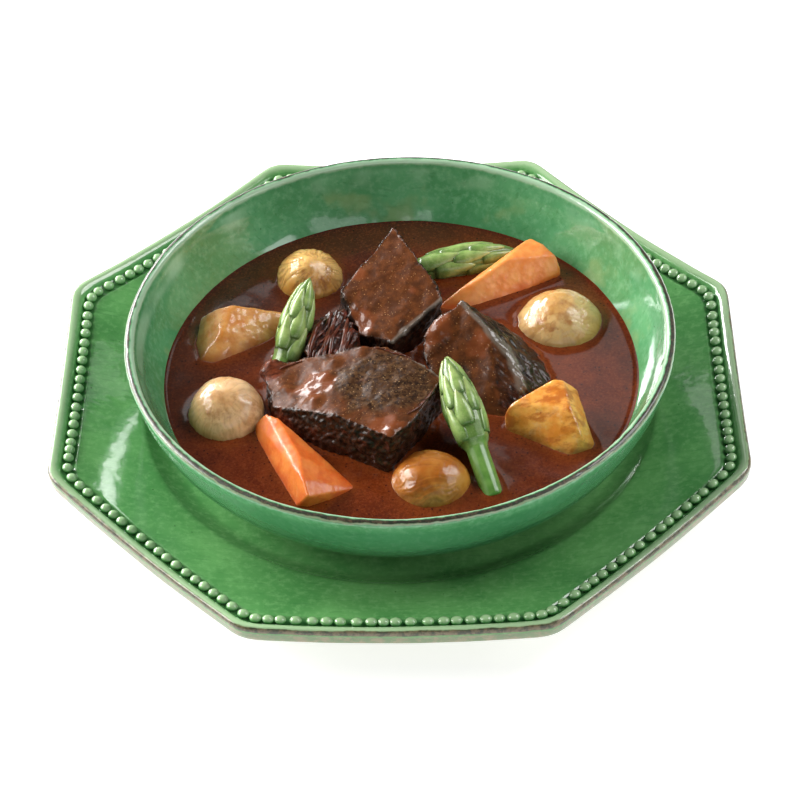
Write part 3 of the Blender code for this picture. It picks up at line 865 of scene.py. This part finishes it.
def block(name, corners, voxel, rounds):
    """A chunk with even small faces and slightly soft edges, from its corners in mm."""
    bm = bmesh.new()
    for corner in corners:
        bm.verts.new(Vector(corner) * MM)
    result = bmesh.ops.convex_hull(bm, input=bm.verts)
    unused = [v for v in result["geom_interior"] if isinstance(v, bmesh.types.BMVert)]
    bmesh.ops.delete(bm, geom=unused, context="VERTS")
    mesh = bpy.data.meshes.new(name)
    bm.to_mesh(mesh)
    bm.free()
    return remesh(new_object(name, mesh), voxel, rounds)


def away_from(co, centre, radius):
    """1 at a place in mm and 0 beyond a radius, for local dents and lumps."""
    gap = np.linalg.norm(co / MM - np.array(centre), axis=1)
    return 1.0 - ease(gap, 0.0, radius)


def spots(co, places):
    """The strongest of several round spots, given by place and radius in mm."""
    strength = np.zeros(len(co))
    for place, radius in places:
        strength = np.maximum(strength, away_from(co, place, radius))
    return strength


def dipped(co, reach, ragged, depth):
    """1 in the sauce and up to near a reach above it, and 0 above that, fading over a depth, all in mm."""
    return ease(level_of_sauce() + reach * MM - co[:, 2] + ragged * MM, 0.0, depth * MM)


def build_beef(node, corners, film_side, film_reach, fibre, seed, material, rough=1.0, lumps=(), granular=(),
               reddish=(), sinew_and_sheen_strips=(), wet=(), shine=0.25):
    """A chunk of braised beef: fibres and hollows where bare, smooth where sauce coats it.

    film_side is the way that coated faces look, and film_reach the cosines to it where the coat starts and is
    full; fibre is the way the fibres run; rough is how deep the relief of the bare meat is;
    lumps are (place, radius, height) in mm; granular are (place, radius) where the coat is thin and grainy;
    reddish are (place, radius) of bare flesh; the sinew and sheen strips are (start, end, width) of pale
    strips along an edge, partly sinew and partly a painted grey reflection of the sky;
    wet are (place, radius) where the sauce still runs and shines; shine is the wetness of the bare meat.
    """
    obj = block(node + "_meat", corners, BEEF_VOXEL, 3)
    proud = convexity(obj, 30)
    co, no = points_of(obj)
    side = np.array(Vector(film_side).normalized())
    patchy = wave(co, 9.0, 3, seed + 1.0)
    film = ease(no @ side + 0.16 * patchy, film_reach[0], film_reach[1])
    grainy = ease(spots(co, granular) + 0.3 * patchy, 0.15, 0.5) * film
    # pale strips along edges, partly sinew and partly a painted sky reflection
    sinew_and_sheen = np.zeros(len(co))
    for start, end, width in sinew_and_sheen_strips:
        a, b = np.array(start), np.array(end)
        share = np.clip((co / MM - a) @ (b - a) / ((b - a) @ (b - a)), 0.0, 1.0)
        gap = np.linalg.norm(co / MM - a - share[:, None] * (b - a), axis=1)
        sinew_and_sheen = np.maximum(sinew_and_sheen, 1.0 - ease(gap * (1.0 + 0.5 * patchy), width * 0.4, width))
    runny = ease(spots(co, wet) + 0.4 * wave(co, 5.0, 2, seed + 9.0), 0.15, 0.5)
    bare = (1.0 - film) * rough
    strands = wave(co, 1.5, 3, seed + 2.0, fibre, 7.0)
    ridged = 1.0 - 2.0 * np.abs(wave(co, 2.8, 2, seed + 3.0, fibre, 5.0))
    swell = wave(co, 9.0, 2, seed + 6.0)
    knobs = wave(co, 4.0, 3, seed + 4.0)
    height = 0.55 * swell + bare * (0.42 * strands + 0.35 * ridged + 0.50 * knobs)
    height += film * (0.12 * knobs + runny * 0.3 * wave(co, 5.0, 2, seed + 11.0))
    height += grainy * (0.16 * wave(co, 1.5, 3, seed + 7.0, fibre, 2.5) + 0.22 * knobs)
    for place, radius, rise in lumps:
        height += rise * away_from(co, place, radius)
    co = co + no * (height * MM)[:, None]
    place_points(obj, co)
    smooth(obj, 1, 0.3)
    paint(obj, "film", film)
    paint(obj, "grainy", grainy)
    paint(obj, "red", ease(spots(co, reddish) + 0.3 * patchy, 0.15, 0.6))
    paint(obj, "sinew_and_sheen", sinew_and_sheen)
    paint(obj, "wet", runny)
    rounded_off = ease(proud, 0.05, 0.30)
    gloss = np.maximum(rounded_off, 0.45 * runny) * film + (1.0 - film) * shine
    paint(obj, "gloss", np.maximum(gloss, sinew_and_sheen))
    # painted shade for the hollows between the fibres
    paint(obj, "hollow_shade", ease(-(strands + ridged * 0.5) * bare, 0.10, 0.8))
    paint(obj, "low", dipped(co, 7.0, 2.0 * patchy, 7.0))
    return finish_piece(obj, material, node)


def build_strands(name, piece, runs, material):
    """Loose fibres of meat that lie over a piece.

    runs are (start, end, radius, bend) in mm, seen from above.
    """
    tree = tree_of(piece)
    steps, sides = STRAND_STEPS, STRAND_SIDES
    points, faces = [], []
    for number, (start, end, radius, bend) in enumerate(runs):
        a, b = np.array(start, float), np.array(end, float)
        across = np.array([a[1] - b[1], b[0] - a[0]]) / np.linalg.norm(b - a)
        shares = np.linspace(0.0, 1.0, steps)
        path = []
        for t in shares:
            flat = a + (b - a) * t + across * bend * math.sin(math.pi * t)
            flat = flat + across * 0.5 * noise.noise(Vector((t * 3.0, number * 1.7, 0.0)))
            hit = tree.ray_cast(Vector((*flat, 80.0)) * MM, Vector((0.0, 0.0, -1.0)))[0]
            path.append([flat[0], flat[1], hit.z / MM if hit else np.nan])
        path = np.array(path)
        known = ~np.isnan(path[:, 2])
        if known.sum() < 4:
            continue
        path[:, 2] = np.interp(shares, shares[known], path[known, 2])
        for _ in range(3):
            path[1:-1, 2] = (path[:-2, 2] + path[1:-1, 2] + path[2:, 2]) / 3.0
        path[:, 2] += radius * 0.5
        along = np.gradient(path, axis=0)
        along /= np.linalg.norm(along, axis=1)[:, None]
        first = len(points)
        for k in range(steps):
            side = np.cross(along[k], (0.0, 0.0, 1.0))
            side /= np.linalg.norm(side)
            up = np.cross(side, along[k])
            thick = radius * (0.15 + 0.85 * math.sin(math.pi * shares[k]) ** 0.5)
            thick *= 1.0 + 0.25 * noise.noise(Vector((shares[k] * 6.0, number * 2.3, 5.0)))
            for j in range(sides):
                turn = 2.0 * math.pi * j / sides
                points.append((path[k] + (side * math.cos(turn) + up * math.sin(turn)) * thick) * MM)
        for k in range(steps - 1):
            for j in range(sides):
                here = first + k * sides + j
                beside = first + k * sides + (j + 1) % sides
                faces.append([here, beside, beside + sides, here + sides])
        faces.append([first + j for j in range(sides)][::-1])
        faces.append([first + (steps - 1) * sides + j for j in range(sides)])
    obj = add_mesh(name, points, faces)
    paint(obj, "gloss", np.full(len(points), 0.7))
    paint(obj, "red", np.full(len(points), 0.6))
    return finish_piece(obj, material, None)


def convexity(obj, rounds):
    """How much each vertex stands proud of its smoothed surroundings, in mm."""
    co, no = points_of(obj)
    twin = smooth(new_object("twin", obj.data.copy()), rounds)
    even, _ = points_of(twin)
    bpy.data.objects.remove(twin)
    return ((co - even) * no).sum(1) / MM


def build_cut(node, material, seed, bumps, rounds):
    """A cut piece of potato or carrot with soft edges and an uneven skin."""
    obj = fine_copy(node, node + "_wedge", CUT_VOXEL, rounds)
    ridge = convexity(obj, 14)
    co, no = points_of(obj)
    height = bumps * wave(co, 5.0, 3, seed) + 0.05 * wave(co, 1.4, 2, seed + 1)
    co = co + no * (height * MM)[:, None]
    place_points(obj, co)
    paint(obj, "ridge", ease(ridge, 0.05, 0.4))
    paint(obj, "low", dipped(co, 3.5, 1.5 * wave(co, 6.0, 2, seed), 4.0))
    return finish_piece(obj, material, node)


def build_onion(node, pole, wrinkles, veins, browned, seed, material):
    """A small onion with wrinkled layers round its pole, veins along it and browned patches.

    wrinkles and veins are depths in mm; browned lists directions from the middle and widths in degrees.
    """
    obj = fine_copy(node, node + "_skin", CUT_VOXEL, 70)
    co, no = points_of(obj)
    place_points(obj, co + no * 0.45 * MM)
    co, no = points_of(obj)
    low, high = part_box(node)
    middle = np.array((low + high) / 2)
    pole = np.array(Vector(pole).normalized())
    spokes = co - middle
    reach = np.linalg.norm(spokes, axis=1)
    latitude = np.arccos(np.clip(spokes @ pole / reach, -1.0, 1.0))
    across = np.array(Vector(pole).orthogonal().normalized())
    over = np.cross(pole, across)
    longitude = np.arctan2(spokes @ over, spokes @ across)
    warp = wave(co, 7.0, 2, seed)
    none = np.zeros(len(co))
    layers = np.column_stack([latitude * 16.0, longitude * 2.2, none]) * MM
    rings = wave(layers, 1.0, 3, seed + 5.0) * ease(latitude, 0.1, 0.4) * ease(-latitude, -1.7, -1.0)
    meridians = np.column_stack([longitude * 5.0 + warp, latitude * 0.7, none]) * MM
    lines = np.clip(1.0 - 2.2 * np.abs(wave(meridians, 1.0, 2, seed + 7.0)), 0.0, 1.0) ** 2
    height = wrinkles * rings - veins * lines * ease(latitude, 0.2, 0.6) + 0.45 * wave(co, 9.0, 2, seed + 2)
    height += 0.10 * wave(co, 2.4, 2, seed + 8)
    co = co + no * (height * MM)[:, None]
    place_points(obj, co)
    paint(obj, "vein", lines * ease(latitude, 0.15, 0.5))
    patch = np.zeros(len(co))
    for direction, width in browned:
        toward = np.array(Vector(direction).normalized())
        facing = (spokes / reach[:, None]) @ toward + 0.12 * wave(co, 3.0, 3, seed + 3)
        edge, full = math.cos(math.radians(width * 1.3)), math.cos(math.radians(width * 0.6))
        patch = np.maximum(patch, ease(facing, edge, full))
    paint(obj, "browned", patch)
    paint(obj, "low", dipped(co, 3.0, 1.5 * wave(co, 5.0, 2, seed), 5.0))
    return finish_piece(obj, material, node)


def spear_axis(node):
    """Foot, tip and thickest radius of an asparagus tip, from its CAD solid."""
    co, _ = points_of(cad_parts[node])
    middle = co.mean(0)
    _, _, axes = np.linalg.svd(co - middle)
    axis = axes[0]
    along = (co - middle) @ axis
    away = np.linalg.norm(co - middle - np.outer(along, axis), axis=1)
    if away[along > np.percentile(along, 97)].mean() > away[along < np.percentile(along, 3)].mean():
        axis = -axis
        along = -along
    return middle + axis * along.min(), middle + axis * along.max(), away.max()


def build_spear(node, count, head_share, seed, material):
    """An asparagus tip: a stalk and a bud of overlapping, bulging pointed scales."""
    name = node + "_spear"
    obj = fine_copy(node, name, SPEAR_VOXEL, 4)
    foot, tip, thick = spear_axis(node)
    axis = tip - foot
    length = np.linalg.norm(axis)
    axis = axis / length
    across = np.array(Vector(axis).orthogonal().normalized())
    over = np.cross(axis, across)
    core, _ = points_of(obj)
    head_start = (1.0 - head_share) * length
    along = (core - foot) @ axis
    # the core under the bud is painted darker green, as painted shade between the scales
    paint(obj, "scale_edge", np.full(len(core), 0.7) * ease(along, head_start - 2 * MM, head_start + MM))
    paint(obj, "scale_tip", np.zeros(len(core)))
    paint(obj, "stalk", 1.0 - ease(along, head_start - 2 * MM, head_start + MM))
    points, faces, rims, tips = [], [], [], []
    rows, columns = SCALE_ROWS, SCALE_COLUMNS
    for k in range(count):
        share = (k / (count - 1)) ** 0.9
        base = head_start - 0.5 * MM + (length - head_start) * (share * 0.66)
        angle = k * GOLDEN_ANGLE + seed + 0.25 * noise.noise(Vector((k * 1.7, seed, 0.0)))
        half_width = (3.9 - 1.7 * share) * MM
        height = (length - head_start) * (0.42 - 0.08 * share)
        start = len(points)
        for i in range(rows):
            t = i / (rows - 1)
            at = base + height * t
            local = (at - head_start) / (length - head_start)
            core_radius = thick * np.interp(local, [-0.3, 0.05, 0.22, 0.44, 0.66, 0.84, 0.95, 1.0],
                                            [0.78, 0.82, 0.92, 0.95, 0.78, 0.50, 0.2, 0.02])
            taper = (1.0 - t ** 3.0) ** 0.8
            width = half_width * taper * (0.80 + 0.20 * math.sin(math.pi * min(1.0, t * 1.6)))
            bulge = (0.15 + 0.75 * math.sin(math.pi * (0.15 + 0.75 * t))) * (1.0 - 0.35 * share) * MM
            for j in range(columns):
                u = (j / (columns - 1)) * 2.0 - 1.0
                swing = angle + u * width / max(core_radius, 1.6 * MM)
                radius = core_radius + bulge * (1.0 - u * u) - 0.15 * MM * u * u
                direction = across * math.cos(swing) + over * math.sin(swing)
                points.append(foot + axis * at + direction * radius)
                rims.append(max(abs(u) ** 3, 0.9 * (1.0 - t) ** 2))
                tips.append(t ** 3)
        for i in range(rows - 1):
            for j in range(columns - 1):
                a = start + i * columns + j
                faces.append([a, a + 1, a + columns + 1, a + columns])
    scales = add_mesh(name + "_scales", points, faces)
    paint(scales, "scale_edge", rims)
    paint(scales, "scale_tip", tips)
    paint(scales, "stalk", np.zeros(len(tips)))
    thickness = scales.modifiers.new("thickness", "SOLIDIFY")
    thickness.thickness = 0.5 * MM
    thickness.offset = 0.0
    apply_modifiers(scales)
    finish_piece(scales, material, None)
    return finish_piece(obj, material, node)


# ---------------------------------------------------------------- stage


def softbox(name, place, aim, size, power, colour=(1.0, 1.0, 1.0)):
    """A rectangular studio light."""
    light = bpy.data.lights.new(name, "AREA")
    light.shape = "RECTANGLE"
    light.size, light.size_y = size
    light.energy = power
    light.color = colour
    obj = new_object(name, light)
    obj.location = place
    obj.rotation_mode = "QUATERNION"
    obj.rotation_quaternion = (Vector(aim) - Vector(place)).to_track_quat("-Z", "Y")


def build_stage():
    """Pale floor and soft lights, which are placed and sized in metres."""
    floor = add_mesh("floor", [(-4, -4, 0), (4, -4, 0), (4, 4, 0), (-4, 4, 0)], [[0, 1, 2, 3]])
    s = Surface("floor", roughness=0.9)
    s.set("Base Color", (0.7, 0.7, 0.7, 1.0))
    s.set("Emission Color", (1.0, 1.0, 1.0, 1.0))
    s.set("Emission Strength", 0.70)
    floor.data.materials.append(s.material)
    world = bpy.data.worlds.new("studio")
    bpy.context.scene.world = world
    world.use_nodes = True
    background = world.node_tree.nodes["Background"]
    background.inputs["Color"].default_value = (0.9, 0.95, 1.0, 1.0)
    background.inputs["Strength"].default_value = 0.07
    aim = (0.0, 0.0, 0.03)
    softbox("key", (-1.20, 0.30, 0.66), aim, (1.0, 0.8), 28.0, (1.0, 0.985, 0.96))
    softbox("back_left", (-0.78, 0.86, 0.46), aim, (0.7, 0.3), 15.0)
    softbox("right", (1.10, 0.48, 1.25), aim, (0.8, 0.8), 14.0)
    softbox("side_right", (1.15, -0.30, 0.70), aim, (1.1, 0.3), 4.0)
    softbox("fill", (0.35, -1.50, 0.62), aim, (1.5, 0.8), 5.5)
    softbox("card", (0.165, 1.12, 1.07), aim, (0.24, 0.16), 0.10)
    softbox("card_left", (-0.36, 0.90, 0.67), aim, (0.50, 0.26), 0.45)


def build_camera():
    """The camera, looking down on the bowl, and plain colour management."""
    target = Vector(CAMERA_TARGET) * MM
    azimuth = math.radians(CAMERA_AZIMUTH)
    elevation = math.radians(CAMERA_ELEVATION)
    level = math.cos(elevation)
    back = Vector((math.sin(azimuth) * level, -math.cos(azimuth) * level, math.sin(elevation)))
    camera = new_object("camera", bpy.data.cameras.new("camera"))
    camera.data.sensor_width = CAMERA_SENSOR
    camera.data.lens = CAMERA_LENS
    camera.data.clip_start = 0.05
    camera.location = target + back * CAMERA_DISTANCE * MM
    camera.rotation_mode = "QUATERNION"
    roll = Matrix.Rotation(math.radians(CAMERA_ROLL), 4, "Z").to_quaternion()
    camera.rotation_quaternion = (-back).to_track_quat("-Z", "Y") @ roll
    bpy.context.scene.camera = camera
    view = bpy.context.scene.view_settings
    view.view_transform = "Standard"
    view.look = "None"
    view.exposure = 0.0


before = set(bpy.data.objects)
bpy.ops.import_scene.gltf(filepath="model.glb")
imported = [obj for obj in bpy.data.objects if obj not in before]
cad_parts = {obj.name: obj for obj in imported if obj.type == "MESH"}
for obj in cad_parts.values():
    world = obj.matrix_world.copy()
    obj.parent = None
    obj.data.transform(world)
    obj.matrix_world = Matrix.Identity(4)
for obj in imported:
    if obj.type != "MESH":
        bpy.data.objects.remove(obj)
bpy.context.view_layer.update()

build_plate(glaze_material("plate_glaze", (82, 146, 80), (106, 168, 98), (138, 194, 126), plate_wear))
build_beads(bpy.data.materials["plate_glaze"])
build_bowl(glaze_material("bowl_glaze", (78, 146, 94), (98, 166, 114), (136, 192, 148), bowl_wear_and_painted_light))

# Corners of the chunks of beef in mm, top ones first, then the ones that lie in the sauce.
BEEF_1 = [(-1.9, 52.4, 45.0), (6.0, 39.0, 43.6), (13.8, 25.5, 41.0), (15.2, 18.5, 40.0), (-1.7, 2.6, 34.5),
          (-13.0, 9.6, 32.0), (-20.4, 27.0, 37.5), (15.5, 20.0, 24.0), (0.5, 2.2, 22.0), (-17.0, 8.6, 22.0),
          (-21.4, 26.0, 24.0), (-3.0, 50.0, 32.0), (12.0, 26.0, 13.0), (0.0, 6.0, 13.0), (-14.0, 12.0, 13.0),
          (-4.0, 42.0, 13.0)]
BEEF_2 = [(-46.5, -6.5, 30.0), (-34.0, -5.0, 34.0), (-12.5, -7.0, 40.5), (-3.0, -8.0, 42.0),
          (5.0, -14.5, 43.0), (15.8, -24.5, 42.0), (6.0, -45.5, 42.0), (-1.0, -53.2, 42.0),
          (-20.0, -40.0, 40.5), (-31.0, -34.5, 37.0), (-43.0, -26.0, 31.0), (-3.0, -54.2, 24.0),
          (10.0, -34.0, 24.0), (15.0, -24.0, 25.0), (-33.0, -38.5, 23.0), (-44.0, -27.0, 24.0),
          (-44.0, -9.0, 22.0), (-36.0, -12.0, 13.0), (-34.0, -30.0, 13.0), (-4.0, -46.0, 13.0),
          (8.0, -30.0, 13.0), (-2.0, -11.0, 13.0)]
BEEF_3 = [(22.3, 9.4, 47.0), (31.5, -1.0, 43.0), (39.5, -8.0, 37.0), (43.0, -18.0, 31.0), (10.0, 2.0, 38.0),
          (9.0, -3.0, 34.0), (43.0, 12.5, 26.0), (49.0, 4.0, 26.0), (53.0, -9.0, 26.0), (50.0, -17.0, 25.0),
          (36.0, -30.5, 25.0), (16.5, -19.5, 26.0), (37.0, 20.0, 25.0), (20.0, 16.0, 24.0),
          (40.0, 10.0, 13.0), (45.0, -8.0, 13.0), (34.0, -24.0, 13.0), (18.0, -14.0, 13.0), (14.0, 4.0, 13.0)]
BEEF_4 = [(-28.0, 18.0, 33.0), (-19.0, 20.5, 34.0), (-14.0, 6.0, 34.0), (-18.0, -8.0, 33.5),
          (-31.0, -4.5, 32.0), (-33.0, 12.0, 31.0), (-31.0, 16.0, 16.0), (-18.0, 18.0, 16.0),
          (-16.0, -3.0, 16.0), (-31.0, -3.0, 16.0)]

beef_1 = build_beef(
    "beef_1", BEEF_1, (-0.10, -0.35, 0.93), (0.80, 0.93), (0.6, 0.9, 0.2), 1.0,
    beef_material("beef_1", (1.0, 5.0, 1.5), (0.2, 0.0, -0.4), 0),
    lumps=[((-13.0, 9.0, 32.0), 4.5, 1.3), ((-17.5, 17.0, 34.0), 4.5, 1.2), ((-9.0, 8.0, 33.0), 4.0, 1.0),
           ((-19.0, 24.0, 36.5), 4.0, 0.8)],
    sinew_and_sheen_strips=[((-1.7, 2.6, 34.5), (15.2, 18.5, 40.0), 1.3)],
    wet=[((-16.0, 14.0, 33.0), 12.0), ((-15.0, 34.0, 39.0), 6.0)])
beef_2 = build_beef(
    "beef_2", BEEF_2, (-0.15, -0.05, 0.98), (0.78, 0.90), (0.9, 0.2, 0.2), 2.0,
    beef_material("beef_2", (5.0, 1.0, 1.5), (0.0, 0.2, 0.3), 8),
    lumps=[((-44.0, -6.5, 31.0), 6.5, 3.4), ((-22.0, -12.0, 38.5), 4.5, 1.4),
           ((-24.0, -18.0, 38.0), 4.0, 1.0), ((-28.0, -31.0, 37.5), 5.0, 1.4),
           ((-38.0, -20.0, 33.0), 3.5, 0.9), ((-1.0, -50.0, 42.0), 4.0, 0.8),
           ((-12.0, -9.0, 41.0), 4.0, 1.0), ((-35.0, -15.0, 35.0), 8.0, -1.8),
           ((-14.0, -30.0, 41.0), 10.0, -1.0)],
    granular=[((-4.0, -26.0, 42.0), 26.0)],
    reddish=[((-45.0, -7.0, 31.0), 10.0), ((-40.0, -31.0, 24.0), 13.0)],
    sinew_and_sheen_strips=[((5.0, -14.5, 43.0), (15.8, -24.5, 42.0), 1.0)],
    wet=[((-28.0, -22.0, 36.0), 12.0), ((-3.0, -48.0, 42.0), 9.0)])
beef_3 = build_beef(
    "beef_3", BEEF_3, (-0.25, -0.20, 0.93), (0.74, 0.92), (0.8, -0.6, -0.4), 3.0,
    beef_material("beef_3", (5.0, 1.0, 1.5), (0.0, 0.5, -0.6), 4),
    lumps=[((15.5, 3.0, 40.0), 7.0, 2.2), ((19.0, 6.0, 43.0), 4.0, 0.8), ((11.5, -3.0, 36.0), 4.0, 1.0),
           ((26.0, -10.0, 37.0), 8.0, -1.2)],
    granular=[((20.0, -14.0, 32.0), 9.0)],
    sinew_and_sheen_strips=[((22.3, 9.4, 46.0), (31.5, -1.0, 43.0), 1.4), ((31.5, -1.0, 43.0), (39.5, -8.0, 37.0), 2.6),
            ((39.5, -8.0, 37.0), (43.0, -18.0, 31.0), 2.6)],
    wet=[((15.0, 3.0, 39.5), 9.0), ((28.0, -5.0, 40.0), 8.0)], shine=0.45)
beef_4 = build_beef(
    "beef_4", BEEF_4, (-0.5, -0.3, 0.7), (1.6, 1.8), (0.35, 0.95, 0.1), 4.0,
    beef_material("beef_4", (1.0, 6.0, 1.5), (0.0, 0.0, -0.3), 34), rough=2.2, shine=0.6)

# Loose fibres: shreds over the small chunk, and single grey-brown ones along the edges of a large one.
SHREDS = [((-31.0, -3.0), (-27.0, 15.0), 1.0, 1.0), ((-28.0, -5.0), (-24.5, 13.0), 0.8, -0.8),
          ((-26.0, -6.0), (-22.0, 17.0), 1.1, 0.6), ((-23.5, -7.0), (-20.5, 12.0), 0.8, 1.2),
          ((-21.0, -6.0), (-18.0, 16.0), 1.0, -0.6), ((-30.0, 5.0), (-23.0, 19.0), 0.7, -1.0),
          ((-19.0, -5.0), (-16.0, 10.0), 0.8, 0.5), ((-28.5, 2.0), (-20.0, 10.0), 0.5, 0.8)]
EDGE_FIBRES = [((-8.0, -8.5), (6.0, -16.0), 0.35, 0.8), ((4.0, -43.0), (13.0, -29.0), 0.4, -1.0),
               ((-41.0, -9.0), (-33.0, -7.0), 0.45, 1.0)]
build_strands("beef_4_shreds", beef_4, SHREDS, bpy.data.materials["beef_4"])
build_strands("beef_2_fibres", beef_2, EDGE_FIBRES, bpy.data.materials["beef_2"])
food = [beef_1, beef_2, beef_3, beef_4]

amber = onion_material("onion_amber", (244, 196, 120), (224, 160, 80), (146, 82, 30), 0.45)
deep = onion_material("onion_deep", (200, 130, 56), (172, 98, 32), (110, 52, 16), 0.25)
pale = onion_material("onion_pale", (232, 192, 144), (216, 168, 114), (150, 96, 48), 0.25)
ivory = onion_material("onion_ivory", (216, 180, 122), (206, 158, 92), (156, 84, 34), 0.20)
food.append(build_onion("onion_1", (0.25, -0.35, 0.9), 0.10, 0.22, [((0.35, -0.6, 0.7), 26.0)], 1.0, amber))
food.append(build_onion("onion_2", (-0.15, -0.3, 0.93), 0.05, 0.06,
                        [((0.9, -0.2, 0.1), 40.0), ((-0.1, -0.5, 0.85), 26.0)], 2.0, pale))
food.append(build_onion("onion_3", (-0.1, -0.55, 0.85), 0.07, 0.08,
                        [((0.12, -0.35, 0.93), 24.0), ((-0.35, -0.6, 0.7), 12.0)], 3.0, ivory))
food.append(build_onion("onion_4", (0.9, -0.2, 0.4), 0.08, 0.14, [((-0.3, -0.6, 0.2), 40.0)], 4.0, deep))

boiled = potato_material("boiled_potato", (228, 170, 100), (212, 136, 58), 0.3)
fried = potato_material("fried_potato", (246, 178, 86), (228, 138, 42), 0.85)
peach = carrot_material("carrot_peach", (248, 164, 88), (238, 138, 62))
orange = carrot_material("carrot_orange", (234, 130, 58), (222, 104, 38))
food.append(build_cut("potato_1", boiled, 1.0, 0.2, 6))
food.append(build_cut("potato_2", fried, 2.0, 0.2, 6))
food.append(build_cut("carrot_1", peach, 3.0, 0.15, 4))
food.append(build_cut("carrot_2", orange, 4.0, 0.15, 4))

asparagus = asparagus_material()
food.append(build_spear("asparagus_1", 15, 0.86, 0.3, asparagus))
food.append(build_spear("asparagus_2", 18, 0.86, 1.1, asparagus))
food.append(build_spear("asparagus_3", 16, 0.64, 2.0, asparagus))

build_sauce(sauce_material(), [tree_of(piece) for piece in food])

build_stage()
build_camera()
